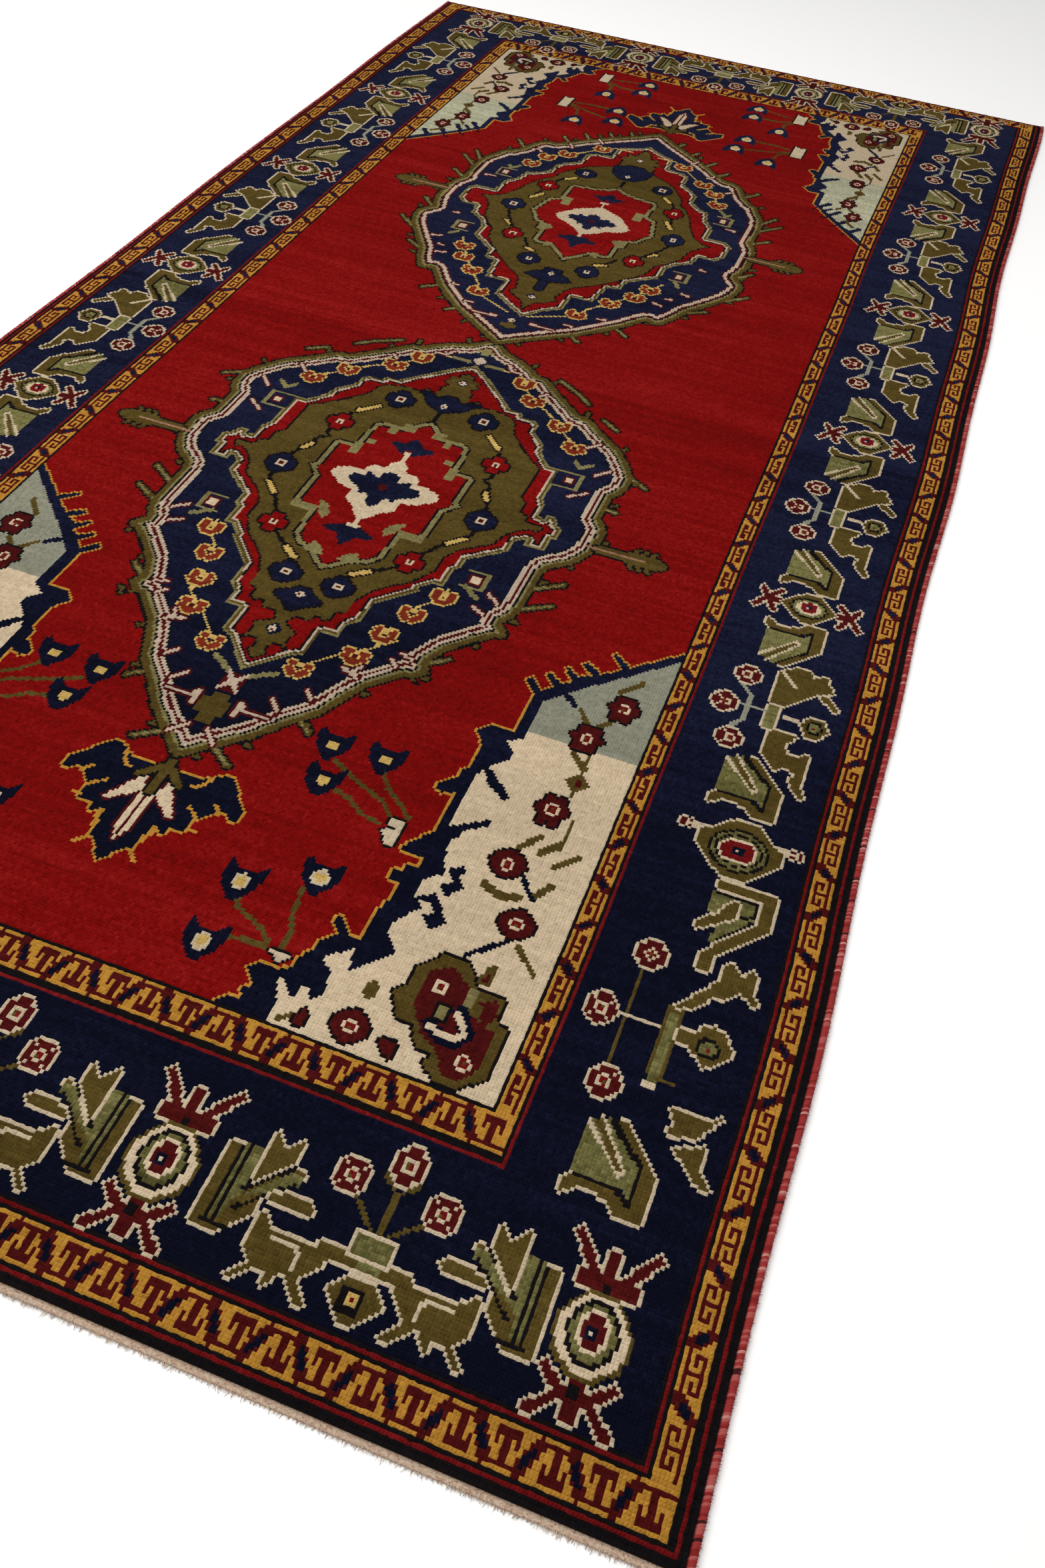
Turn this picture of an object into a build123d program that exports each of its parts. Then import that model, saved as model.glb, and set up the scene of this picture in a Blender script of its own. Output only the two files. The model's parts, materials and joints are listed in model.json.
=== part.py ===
from build123d import *

import os

# An area rug of hand-knotted wool, laid flat, pile up.
# Every zone of the pile is counted in knots, as a weaver's cartoon is: columns run from the left
# selvedge to the right one, rows from the near end to the far one.

# Driving dimensions, in millimetres.
RUG_WIDTH = 1520.0  # over both selvedges
RUG_LENGTH = 3187.0  # over both kilim ends, without the fringe
SELVEDGE_WIDTH = 8.4
SELVEDGE_HEIGHT = 6.4
SELVEDGE_ROUNDING = 3.0
CORD_COUNT = 3
CORD_DIAMETER = 2.0
CORD_CLEARANCE = 0.05
CORD_PITCH = 2.4
KILIM_DEPTH = 6.3
KILIM_HEIGHT = 3.0
FRINGE_LENGTH = 4.0
FRINGE_HEIGHT = 1.6
FRINGE_LIFT = 0.5
TUFT_KNOTS = 7  # knots of width to one fringe tuft
TUFT_GAP = 3.0
WEAVE_HEIGHT = 2.5
PILE_HEIGHT = 5.5

# The knot count, and the knot that it gives.
KNOTS_ACROSS = 421
KNOTS_ALONG = 808
KNOT_WIDTH = (RUG_WIDTH - 2 * SELVEDGE_WIDTH) / KNOTS_ACROSS
KNOT_LENGTH = (RUG_LENGTH - 2 * KILIM_DEPTH) / KNOTS_ALONG

# Border zones, each the (left, right, near, far) knots of its outer edge, from the outside in.
RUG_EDGE = (0, KNOTS_ACROSS, 0, KNOTS_ALONG)
OUTER_GUARD = (3, 417, 4, 806)
MAIN_BORDER = (13, 406, 17, 798)
INNER_GUARD = (60, 352, 67, 762)
FIELD = (70, 343, 80, 750)

# Half outlines of the medallions: (knots from the axis, row), from the near tip to the far one.
MEDALLION_AXIS = 201.5
NEAR_MEDALLION = [
    (0, 149), (36, 165), (57, 188), (70, 222), (82, 258), (93, 272), (96, 303),
    (93, 333), (84, 358), (68, 378), (48, 392), (24, 405), (0, 419),
]
FAR_MEDALLION = [
    (0, 423), (32, 444), (56, 462), (70, 481), (82, 504), (90, 528), (88, 552),
    (84, 578), (78, 604), (68, 633), (46, 647), (24, 660), (0, 677),
]

# Outlines of the two finials, the palmettes beyond the medallions' ends.
FINIAL_NEAR_AXIS = 202.0
FINIAL_FAR_AXIS = 205.5
FINIAL_NEAR = [
    (0, 107), (9, 116), (16, 126), (28, 131), (34, 137), (26, 146), (12, 141), (0, 147),
]
FINIAL_FAR = [
    (0, 720), (10, 711), (22, 706), (31, 700), (34, 694), (26, 684), (12, 688), (0, 682),
]

# Spandrels: (knots in from the field's side, row), from the side edge round to the end edge.
NEAR_SPANDREL = [(0, 262), (34, 231), (46, 214), (52, 176), (57, 144), (70, 112), (81, 80)]
FAR_SPANDREL = [(0, 597), (47, 654), (52, 690), (56, 716), (64, 750)]

os.makedirs("parts", exist_ok=True)


def place(column, row):
    """The point in the rug's frame at a count of knots across and along."""
    x = (column - KNOTS_ACROSS / 2) * KNOT_WIDTH
    y = (row - KNOTS_ALONG / 2) * KNOT_LENGTH
    return (x, y)


def block(outline, base, height, label):
    """One flat closed piece, from an outline counted in knots."""
    with BuildPart() as piece:
        with BuildSketch(Plane.XY.offset(base)):
            with BuildLine():
                Polyline([place(column, row) for column, row in outline], close=True)
            make_face()
        extrude(amount=height)
    piece.part.label = label
    export_step(piece.part, f"parts/{label}.step")


def oblong(left, right, near, far):
    """The four corners of a zone, in knots."""
    return [(left, near), (right, near), (right, far), (left, far)]


def mirrored(half, axis):
    """A whole outline from its right half."""
    right = [(axis + out, row) for out, row in half]
    left = [(axis - out, row) for out, row in reversed(half) if out > 0]
    return right + left


def border(outer, inner, name):
    """A border as four straight strips, whose ends run through to the corners."""
    left, right, near, far = outer
    in_left, in_right, in_near, in_far = inner
    strips = {
        "near": oblong(left, right, near, in_near),
        "far": oblong(left, right, in_far, far),
        "left": oblong(left, in_left, in_near, in_far),
        "right": oblong(in_right, right, in_near, in_far),
    }
    for side, outline in strips.items():
        block(outline, WEAVE_HEIGHT, PILE_HEIGHT, f"{name}_{side}")


# The ground weave: warps and wefts, under the whole of the pile.
block(oblong(*RUG_EDGE), 0, WEAVE_HEIGHT, "ground_weave")

# The pile of the borders, from the outside in.
border(RUG_EDGE, OUTER_GUARD, "outline_stripes")
border(OUTER_GUARD, MAIN_BORDER, "outer_guard_border")
border(MAIN_BORDER, INNER_GUARD, "main_border")
border(INNER_GUARD, FIELD, "inner_guard_border")

# The figures that stand in the field.
field_left, field_right, field_near, field_far = FIELD
figures = {
    "medallion_near": mirrored(NEAR_MEDALLION, MEDALLION_AXIS),
    "medallion_far": mirrored(FAR_MEDALLION, MEDALLION_AXIS),
    "finial_near": mirrored(FINIAL_NEAR, FINIAL_NEAR_AXIS),
    "finial_far": mirrored(FINIAL_FAR, FINIAL_FAR_AXIS),
}
for end, half, end_row in (("near", NEAR_SPANDREL, field_near), ("far", FAR_SPANDREL, field_far)):
    figures[f"spandrel_{end}_left"] = [(field_left, end_row)] + [
        (field_left + inward, row) for inward, row in half
    ]
    figures[f"spandrel_{end}_right"] = [(field_right, end_row)] + [
        (field_right - inward, row) for inward, row in half
    ]
for label, outline in figures.items():
    block(outline, WEAVE_HEIGHT, PILE_HEIGHT, label)

# The plain field round them.
with BuildPart() as field_pile:
    with BuildSketch(Plane.XY.offset(WEAVE_HEIGHT)):
        with BuildLine():
            Polyline([place(*corner) for corner in oblong(*FIELD)], close=True)
        make_face()
        for outline in figures.values():
            with BuildLine():
                Polyline([place(column, row) for column, row in outline], close=True)
            make_face(mode=Mode.SUBTRACT)
    extrude(amount=PILE_HEIGHT)
field_pile.part.label = "field_pile"
export_step(field_pile.part, "parts/field_pile.step")

# The kilim ends: narrow strips of plain weave that close the rug, and the cut warps beyond them.
end_y = RUG_LENGTH / 2 - KILIM_DEPTH
woven_width = KNOTS_ACROSS * KNOT_WIDTH
tuft_count = KNOTS_ACROSS // TUFT_KNOTS
tuft_pitch = woven_width / tuft_count
for end, direction in (("near", -1), ("far", 1)):
    with BuildPart() as kilim_end:
        with BuildSketch():
            with Locations((0, direction * (end_y + KILIM_DEPTH / 2))):
                Rectangle(woven_width, KILIM_DEPTH)
        extrude(amount=KILIM_HEIGHT)
    kilim_end.part.label = f"kilim_end_{end}"
    export_step(kilim_end.part, f"parts/kilim_end_{end}.step")

    with BuildPart() as fringe:
        with BuildSketch(Plane.XY.offset(FRINGE_LIFT)):
            with Locations((0, direction * (RUG_LENGTH + FRINGE_LENGTH) / 2)):
                with GridLocations(tuft_pitch, 0, tuft_count, 1):
                    Rectangle(tuft_pitch - TUFT_GAP, FRINGE_LENGTH)
        extrude(amount=FRINGE_HEIGHT)
    fringe.part.label = f"fringe_{end}"
    export_step(fringe.part, f"parts/fringe_{end}.step")

# The selvedges: thick edge cords, and the wool that is overcast round them.
for side, direction in (("left", -1), ("right", 1)):
    middle = direction * (RUG_WIDTH - SELVEDGE_WIDTH) / 2
    with BuildPart() as selvedge_cords:
        with BuildSketch(Plane.XZ):
            with Locations((middle, SELVEDGE_HEIGHT / 2)):
                with GridLocations(CORD_PITCH, 0, CORD_COUNT, 1):
                    Circle(CORD_DIAMETER / 2)
        extrude(amount=RUG_LENGTH / 2, both=True)
    selvedge_cords.part.label = f"selvedge_cords_{side}"
    export_step(selvedge_cords.part, f"parts/selvedge_cords_{side}.step")

    with BuildPart() as selvedge_wrap:
        with BuildSketch(Plane.XZ):
            with Locations((middle, SELVEDGE_HEIGHT / 2)):
                RectangleRounded(SELVEDGE_WIDTH, SELVEDGE_HEIGHT, SELVEDGE_ROUNDING)
                with GridLocations(CORD_PITCH, 0, CORD_COUNT, 1):
                    Circle(CORD_DIAMETER / 2 + CORD_CLEARANCE, mode=Mode.SUBTRACT)
        extrude(amount=RUG_LENGTH / 2, both=True)
    selvedge_wrap.part.label = f"selvedge_wrap_{side}"
    export_step(selvedge_wrap.part, f"parts/selvedge_wrap_{side}.step")
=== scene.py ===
"""A hand-knotted village rug, laid flat: red field, two medallions, navy main border."""
import json
import math

import bpy
import numpy as np
from mathutils import Matrix, Vector

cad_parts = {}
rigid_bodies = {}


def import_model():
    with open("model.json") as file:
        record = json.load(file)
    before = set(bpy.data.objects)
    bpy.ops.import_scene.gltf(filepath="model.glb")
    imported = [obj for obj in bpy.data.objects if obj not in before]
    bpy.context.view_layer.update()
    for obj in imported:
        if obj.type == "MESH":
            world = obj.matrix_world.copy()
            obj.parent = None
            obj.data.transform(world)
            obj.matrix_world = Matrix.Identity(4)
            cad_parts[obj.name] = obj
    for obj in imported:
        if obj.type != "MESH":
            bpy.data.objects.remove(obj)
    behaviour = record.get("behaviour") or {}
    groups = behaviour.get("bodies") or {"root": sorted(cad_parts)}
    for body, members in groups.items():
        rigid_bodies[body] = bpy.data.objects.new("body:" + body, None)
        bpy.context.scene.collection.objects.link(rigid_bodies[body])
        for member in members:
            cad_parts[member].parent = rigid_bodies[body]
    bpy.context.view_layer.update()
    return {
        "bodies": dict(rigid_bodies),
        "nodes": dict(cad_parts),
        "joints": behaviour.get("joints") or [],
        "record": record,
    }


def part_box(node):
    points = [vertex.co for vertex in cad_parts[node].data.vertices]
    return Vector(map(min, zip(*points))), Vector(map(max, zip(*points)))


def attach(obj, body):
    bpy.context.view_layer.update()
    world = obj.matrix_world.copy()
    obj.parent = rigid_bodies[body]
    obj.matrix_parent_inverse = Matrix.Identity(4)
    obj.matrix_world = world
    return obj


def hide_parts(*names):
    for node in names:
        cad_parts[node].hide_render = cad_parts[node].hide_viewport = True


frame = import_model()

# ---------------------------------------------------------------------------------------------
# Sizes, in millimetres, and counts, in knots
# ---------------------------------------------------------------------------------------------

KNOTS_ACROSS = 421
KNOTS_ALONG = 808
ground_low, ground_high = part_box("ground_weave")
KNOT_WIDTH = (ground_high.x - ground_low.x) * 1000 / KNOTS_ACROSS
KNOT_LENGTH = (ground_high.y - ground_low.y) * 1000 / KNOTS_ALONG
GROUND_TOP = ground_high.z * 1000
PILE_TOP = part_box("field_pile")[1].z * 1000
HALF_WIDTH = KNOT_WIDTH * KNOTS_ACROSS / 2
HALF_LENGTH = KNOT_LENGTH * KNOTS_ALONG / 2

# The borders from the outside in, each with the outer edge of its frame: left, right, near, far.
FIELD_BOX = (70, 343, 80, 750)
BORDERS = [
    ("outline_stripes", (0, KNOTS_ACROSS, 0, KNOTS_ALONG)),
    ("outer_guard_border", (3, 417, 4, 806)),
    ("main_border", (13, 406, 17, 798)),
    ("inner_guard_border", (60, 352, 67, 762)),
    ("field_pile", FIELD_BOX),
]

chance = np.random.default_rng(31)

# ---------------------------------------------------------------------------------------------
# The cartoon: the weaver's chart of the whole design, one cell to a knot.
# Columns count from the left selvedge, rows from the near end. Outlines are given in knots.
# ---------------------------------------------------------------------------------------------

YARNS = ("red", "navy", "dark", "cream", "ivory", "gold", "olive", "sage", "maroon", "scarlet",
         "orange", "pink", "grey", "yellow", "stone", "fern", "mist")
(RED, NAVY, DARK, CREAM, IVORY, GOLD, OLIVE, SAGE, MAROON, SCARLET,
 ORANGE, PINK, GREY, YELLOW, STONE, FERN, MIST) = range(len(YARNS))
EMPTY = -1

cartoon = np.full((KNOTS_ALONG, KNOTS_ACROSS), DARK)
zones = np.full((KNOTS_ALONG, KNOTS_ACROSS), "", dtype="U32")
cell_x, cell_y = np.meshgrid(np.arange(KNOTS_ACROSS) + 0.5, np.arange(KNOTS_ALONG) + 0.5)


class Pen:
    """Draws one motif on a layer of its own, then lays it on the cartoon.

    A motif's own points are given about its anchor, wherever it was first counted off, and the
    pen carries them to where the motif stands: at, with flips, a stretch and quarter turns.
    """

    def __init__(self, at=(0, 0), anchor=(0, 0), flip=(1, 1), stretch=(1, 1), turns=0):
        self.at = at
        self.anchor = anchor
        self.scale = (flip[0] * stretch[0], flip[1] * stretch[1])
        self.turns = turns % 4
        self.layer = np.full(cartoon.shape, EMPTY)

    def fresh(self):
        """A pen in the same place, with a clean layer."""
        other = Pen(self.at, self.anchor, turns=self.turns)
        other.scale = self.scale
        return other

    def carry(self, points):
        """The points where the motif stands."""
        carried = []
        for x, y in points:
            dx = (x - self.anchor[0]) * self.scale[0]
            dy = (y - self.anchor[1]) * self.scale[1]
            for _ in range(self.turns):
                dx, dy = -dy, dx
            carried.append((self.at[0] + dx, self.at[1] + dy))
        return carried

    def window(self, points, margin):
        """The slice of the cartoon that holds the points."""
        xs = [x for x, _ in points]
        ys = [y for _, y in points]
        left = max(int(min(xs) - margin), 0)
        right = min(int(max(xs) + margin) + 2, KNOTS_ACROSS)
        near = max(int(min(ys) - margin), 0)
        far = min(int(max(ys) + margin) + 2, KNOTS_ALONG)
        return slice(near, far), slice(left, right)

    def inside(self, points):
        """The window round a closed outline, and the cells in it that the outline holds."""
        view = self.window(points, 0)
        x, y = cell_x[view], cell_y[view]
        held = np.zeros(x.shape, dtype=bool)
        for (x0, y0), (x1, y1) in zip(points, points[1:] + points[:1]):
            if y0 == y1:
                continue
            crosses = (y0 > y) != (y1 > y)
            held ^= crosses & (x < x0 + (y - y0) * (x1 - x0) / (y1 - y0))
        return view, held

    def distance(self, points, view):
        """How far each cell of the window lies from an open line."""
        x, y = cell_x[view], cell_y[view]
        nearest = np.full(x.shape, 1e9)
        for (x0, y0), (x1, y1) in zip(points, points[1:]):
            dx, dy = x1 - x0, y1 - y0
            length = max(dx * dx + dy * dy, 1e-9)
            along = np.clip(((x - x0) * dx + (y - y0) * dy) / length, 0, 1)
            nearest = np.minimum(nearest, np.hypot(x - x0 - along * dx, y - y0 - along * dy))
        return nearest

    def shape(self, points, yarn):
        """A filled outline."""
        view, held = self.inside(self.carry(points))
        self.layer[view][held] = yarn
        return self

    def box(self, left, near, right, far, yarn):
        """A filled oblong."""
        return self.shape([(left, near), (right, near), (right, far), (left, far)], yarn)

    def line(self, points, yarn, width=1.2):
        """A line of even width."""
        points = self.carry(points)
        view = self.window(points, width)
        self.layer[view][self.distance(points, view) <= width / 2] = yarn
        return self

    def lines(self, runs, yarn, width):
        """Several lines of one yarn and one width."""
        for run in runs:
            self.line(run, yarn, width)
        return self

    def oval(self, x, y, across, along, yarn):
        """A filled oval, from its centre and its two radii."""
        (cx, cy), (ex, ey) = self.carry([(x, y), (x + across, y + along)])
        rx, ry = abs(ex - cx), abs(ey - cy)
        view = self.window([(cx - rx, cy - ry), (cx + rx, cy + ry)], 1)
        held = ((cell_x[view] - cx) / rx) ** 2 + ((cell_y[view] - cy) / ry) ** 2 <= 1
        self.layer[view][held] = yarn
        return self

    def bands(self, points, steps):
        """A filled outline in bands, each from its depth inward."""
        points = self.carry(points)
        view, held = self.inside(points)
        depth = self.distance(points + points[:1], view)
        for start, yarn in steps:
            self.layer[view][held & (depth >= start)] = yarn
        return self

    def rim(self, yarn):
        """One knot of outline round all that the layer holds so far."""
        full = self.layer != EMPTY
        grown = full.copy()
        grown[1:] |= full[:-1]
        grown[:-1] |= full[1:]
        grown[:, 1:] |= full[:, :-1]
        grown[:, :-1] |= full[:, 1:]
        self.layer[grown & ~full] = yarn
        return self

    def lay(self, zone=None):
        """Puts the layer on the cartoon, and claims its knots for a zone."""
        full = self.layer != EMPTY
        cartoon[full] = self.layer[full]
        if zone:
            zones[full] = zone


def both_sides(half, axis):
    """A whole outline from its left half, which runs from one end of the axis to the other."""
    return half + [(2 * axis - x, y) for x, y in reversed(half) if x != axis]


# ---- Borders --------------------------------------------------------------------------------

# Each frame of the borders, from the outside in: left, near, right, far, and its yarn.
FRAMES = [
    (1, 2, 419, 807, SCARLET), (2, 3, 418, 806, DARK), (3, 4, 416, 806, GOLD),
    (10, 14, 409, 799, DARK), (11, 15, 408, 799, SCARLET), (12, 16, 407, 798, DARK),
    (13, 17, 406, 797, NAVY), (60, 66, 352, 763, SCARLET), (61, 67, 351, 762, DARK),
    (62, 69, 350, 761, GOLD), (69, 79, 344, 751, DARK), (70, 80, 343, 750, RED),
]


def draw_frames():
    """The plain ground of every border and of the field, and the zone that each knot is in."""
    for left, near, right, far, yarn in FRAMES:
        cartoon[near:far, left:right] = yarn
    for (name, (left, right, near, far)), (_, inner) in zip(BORDERS, BORDERS[1:]):
        zones[near:far, left:inner[0]] = name + "_left"
        zones[near:far, inner[1]:right] = name + "_right"
        zones[near:inner[2], left:right] = name + "_near"
        zones[inner[3]:far, left:right] = name + "_far"
    left, right, near, far = FIELD_BOX
    zones[near:far, left:right] = "field_pile"


# Line widths that cover one knot and two knots.
THREAD, DOUBLE = 1.1, 2.0

# Each guard border's outer edge, and how many knots deep it is at its left, right, near and far.
GUARDS = [((3, 4, 416, 806), (7, 7, 10, 7)), ((62, 69, 350, 761), (7, 6, 10, 10))]
# How far apart its figures stand, along the ends and up the sides.
END_STEP, SIDE_STEP = 11.35, 15.6


def meander(origin, turns, run, depth, step, curl):
    """A zigzag along a guard border: from each of its flats a stem crosses to a hooked bar.

    Points are given along the border and then across it, from the corner at origin.
    """
    heavy = not curl and depth > 8
    low, high = 1.5, depth - 1.5
    stroke, inset = (DOUBLE, 0.5) if heavy else (THREAD, 0)
    count = int(run // step)
    step = run / count
    bar, hook = (4, depth - 5) if curl else (2.5, 2.5) if heavy else (2, 2)
    flat = int(step / 2 - 1.4)
    pen = Pen(at=origin, turns=turns)
    for index in range(count):
        s = int((index + 0.5) * step) + (1.0 if heavy else 0.5)
        base, top = (low, high - inset) if index % 2 == 0 else (high, low + inset)
        reach = top - hook if base < top else top + hook
        pen.line([(s - flat, base), (s + flat, base)], MAROON, THREAD)
        pen.line([(s, base), (s, top)], MAROON, stroke)
        pen.line([(s - bar, top), (s + bar, top)], MAROON, stroke)
        for side in (-1, 1):
            hook_line = [(s + side * bar, top), (s + side * bar, reach)]
            if curl:
                hook_line.append((s + side * (bar - 2), reach))
            pen.line(hook_line, MAROON, THREAD)
        if index + 1 < count:
            middle = (index + 1) * step
            pen.line([(middle - 1.6, base), (middle + 1.6, top)], MAROON, 3.2)
            quarter = (top - base) / 4
            pen.line([(middle - 0.9, base + quarter), (middle + 0.9, top - quarter)], NAVY, 1.8)
    pen.lay()


def draw_guard_borders():
    """The two gold guard borders, with their maroon hooks."""
    for (left, near, right, far), (left_deep, right_deep, near_deep, far_deep) in GUARDS:
        meander((left, near), 0, right - left, near_deep, END_STEP, False)
        meander((right, far), 2, right - left, far_deep, END_STEP, False)
        side_run = far - near - near_deep - far_deep
        meander((right, near + near_deep), 1, side_run, right_deep, SIDE_STEP, True)
        meander((left, far - far_deep), 3, side_run, left_deep, SIDE_STEP, True)


def rosette(at, tall=1.0):
    """A round border flower: maroon petals, cream spokes and a scarlet heart."""
    pen = Pen(at=at, stretch=(1, tall))
    pen.oval(0, 0, 4.5, 4.3, MAROON).rim(CREAM)
    for side_x in (-1, 1):
        for side_y in (-1, 1):
            pen.line([(2.4 * side_x, 2.4 * side_y), (2.9 * side_x, 2.9 * side_y)], CREAM, 0.9)
    pen.oval(0, 0, 2.1, 2.0, CREAM)
    pen.oval(0, 0, 1.2, 1.2, SCARLET)
    pen.box(-0.5, -0.5, 0.5, 0.5, OLIVE)
    pen.lay()


def rosettes(at, flip, spots, tall=1.0):
    """Rosettes at these places about a vase."""
    for dx, dy in spots:
        rosette((at[0] + dx * flip[0], at[1] + dy * flip[1]), tall)


# Near and far borders: a beetle, a vase and a pair of leaves.

def end_beetle(at, flip):
    """The eyed beetle with scarlet claws, as it stands in the two end borders."""
    pen = Pen(at=at, anchor=(387, 38), flip=flip)
    for side in (-1, 1):
        pen.lines([
            [(387 + 10.5 * side, 58.5), (387 + 3 * side, 50)],
            [(387 + 9.5 * side, 18), (387 + 3 * side, 24)],
            [(387 + 8.5 * side, 27.5), (387 + 3 * side, 23)],
        ], MAROON, 2.3)
    pen.box(379, 47.4, 395, 50.6, MAROON)
    pen.box(385.5, 48, 388.5, 57.5, MAROON)
    pen.box(385, 18, 389, 28, MAROON)
    pen.rim(CREAM)
    pen.box(386, 47, 388, 49, DARK)
    pen.box(385.5, 23.5, 388.5, 26, DARK)
    pen.shape([(376.5, 38), (380, 44), (384, 47.5), (390, 47.5), (394, 44), (397.5, 38), (396, 31.5),
               (391, 27.5), (383, 27.5), (378, 31.5)], OLIVE)
    pen.shape([(377.5, 38), (381, 43.5), (384.5, 46.5), (389.5, 46.5), (393, 43.5), (396.5, 38),
               (395, 32), (390, 28.5), (384, 28.5), (379, 32)], IVORY)
    pen.oval(387, 37.5, 6.6, 7.6, DARK)
    pen.oval(387, 37.5, 5.6, 6.6, FERN)
    pen.oval(387, 37.8, 4.2, 5.2, IVORY)
    pen.oval(387, 38, 3.1, 4.0, MAROON)
    pen.box(385.5, 36.5, 388.5, 39.5, NAVY)
    pen.box(386.5, 37.5, 387.5, 38.5, IVORY)
    pen.box(385.8, 31, 388.2, 33.2, FERN)
    pen.lay()


def end_vase(at, flip):
    """The vase on its footed beast, with three rosettes, in the two end borders."""
    beast = [
        (334, 34.5), (341, 34.5), (342, 32.5), (354.5, 32.5), (358.6, 35.4), (359, 26), (356, 24),
        (360, 19), (359, 18.5), (354.5, 23.5), (351.5, 23.5), (350.3, 19.5), (347, 25), (342, 19.5),
        (339, 19.2), (343.6, 24), (338.5, 29.5), (337, 31.5), (329, 31.5), (329, 34.5),
    ]
    pen = Pen(at=at, anchor=(329, 34), flip=flip)
    for side in (-1, 1):
        pen.shape([(329 + side * (x - 329), y) for x, y in beast], OLIVE)
    pen.rim(CREAM)
    for side in (-1, 1):
        pen.line([(329 + side * 17, 25), (329 + side * 16, 28), (329 + side * 18, 30.5),
                  (329 + side * 24.5, 30.5)], CREAM, 1.1)
    pen.box(324, 34, 334, 39.5, FERN)
    pen.box(327, 31, 333, 34, FERN)
    pen.line([(323.5, 39.5), (323.5, 33.5), (334.5, 33.5), (334.5, 39.5), (323.5, 39.5)], CREAM, 1.1)
    pen.lay()
    eye = pen.fresh()
    eye.shape([(326, 29), (333, 29), (337.4, 25), (332, 19.4), (328, 19.4),
               (323, 25)], OLIVE).rim(CREAM)
    eye.box(326.5, 21.5, 332.5, 27.5, DARK)
    eye.box(328, 23, 331, 26, YELLOW)
    eye.box(329, 24, 330, 25, SCARLET)
    eye.lay()
    stems = pen.fresh()
    stems.line([(329, 40), (329, 51)], OLIVE, 1.1)
    stems.line([(324.5, 54), (329, 50), (333.5, 54)], OLIVE, 1.0)
    stems.lines([[(326.5, 40.5), (319, 47)], [(331.5, 40.5), (340, 47)]], OLIVE, 1.2)
    stems.lay()
    rosettes(at, flip, [(13, 16), (-13, 17)])
    rosettes(at, flip, [(0, 24)], 1.25)


def end_leaves(at, flip):
    """A striped upright leaf with a forked one and a tongue, in the two end borders."""
    pen = Pen(at=at, anchor=(366, 38), flip=flip)
    pen.shape([(352.5, 46), (354, 47), (357, 46), (368, 35), (368, 48.5), (375, 48.5), (375, 27),
               (367, 27), (361.5, 33), (361, 37)], OLIVE).rim(CREAM)
    pen.shape([(353, 46.3), (356, 46.3), (368, 34), (368, 30), (371, 30), (371, 48.8), (365.5, 48.8),
               (365.5, 36.5), (353, 43.5)], FERN)
    pen.lines([
        [(369.5, 29.5), (369.5, 48)], [(371.6, 28.5), (371.6, 48)], [(366, 28.5), (372, 28.5)],
        [(354, 44), (366, 33.5)], [(357, 46.5), (366, 38.5)],
    ], DARK, 1.0)
    pen.lay()
    fork = pen.fresh()
    fork.shape([(357, 54), (361, 50), (365, 54.5), (365, 40), (357, 48)], OLIVE).rim(CREAM).lay()
    tongue = pen.fresh()
    tongue.shape([(346, 39), (348, 41), (354, 41), (360, 39), (358, 38),
                  (348, 37.8)], OLIVE).rim(CREAM).lay()


# Side borders: the same figures turned through a right angle, with the rug's inside to their left.

def side_beetle(at, flip):
    """The beetle of the side borders, between its two scarlet claws."""
    pen = Pen(at=at, anchor=(381, 303), flip=flip)
    for side in (-1, 1):
        pen.line([(381 + 11 * side, 302.5), (381 + 16 * side, 302.5)], MAROON, 2.0)
        pen.lines([
            [(381 + 20.5 * side, 297.5), (381 + 12 * side, 308.5)],
            [(381 + 13 * side, 297), (381 + 19.5 * side, 308)],
        ], MAROON, 2.2)
    pen.rim(CREAM).lay()
    body = pen.fresh()
    body.shape([(370.5, 302.5), (374, 306.5), (379, 310.3), (384, 310.3), (388.5, 306.5), (392, 302.5),
                (388.5, 298.5), (384, 294.3), (379, 294.3), (374, 298.5)], OLIVE).rim(CREAM)
    for across, along, yarn in ((7.6, 5.4, DARK), (6.6, 4.5, FERN), (5.2, 3.8, IVORY)):
        body.oval(381, 302.5, across, along, yarn)
    body.oval(381, 302.8, 3.2, 2.8, SCARLET)
    body.box(380, 302, 382, 304, NAVY)
    body.box(380.5, 302.5, 381.5, 303.5, IVORY)
    body.lay()


def great_beetle(at, flip):
    """The largest beetle, the first from the near end, ringed like a target."""
    claws = Pen(at=at, anchor=(381, 183), flip=flip)
    for x, inner in ((365.3, 370), (402.3, 397)):
        claws.shape([(x - 2, 187.5), (x, 188.8), (x + 2, 187.5), (x + 2, 191.5), (x, 190.3),
                     (x - 2, 191.5)], MAROON)
        claws.line([(x, 189.4), (inner, 189.4)], CREAM, 1.2)
    claws.rim(CREAM).lay()
    body = claws.fresh()
    body.shape([(369.8, 183.5), (369.8, 188.8), (373.3, 190.3), (380.3, 196), (389, 196), (395, 190),
                (398.3, 188.3), (398.3, 183.3), (388.5, 173.7), (380.5, 173.7)], OLIVE).rim(CREAM)
    for across, along, yarn in ((10, 8.2, DARK), (9, 7.3, FERN), (7.9, 6.2, DARK), (7.0, 5.4, FERN)):
        body.oval(384, 184.6, across, along, yarn)
    body.lay()
    heart = claws.fresh()
    heart.shape([(379.8, 181), (378.4, 183), (378.4, 186.4), (380.3, 188.2), (387.7, 188.2),
                 (389.5, 186.4), (389.5, 183), (388, 181)], SCARLET).rim(IVORY)
    heart.box(382, 183.5, 386, 186.5, NAVY)
    heart.box(383.5, 184.5, 384.5, 185.5, IVORY)
    heart.lay()


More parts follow.
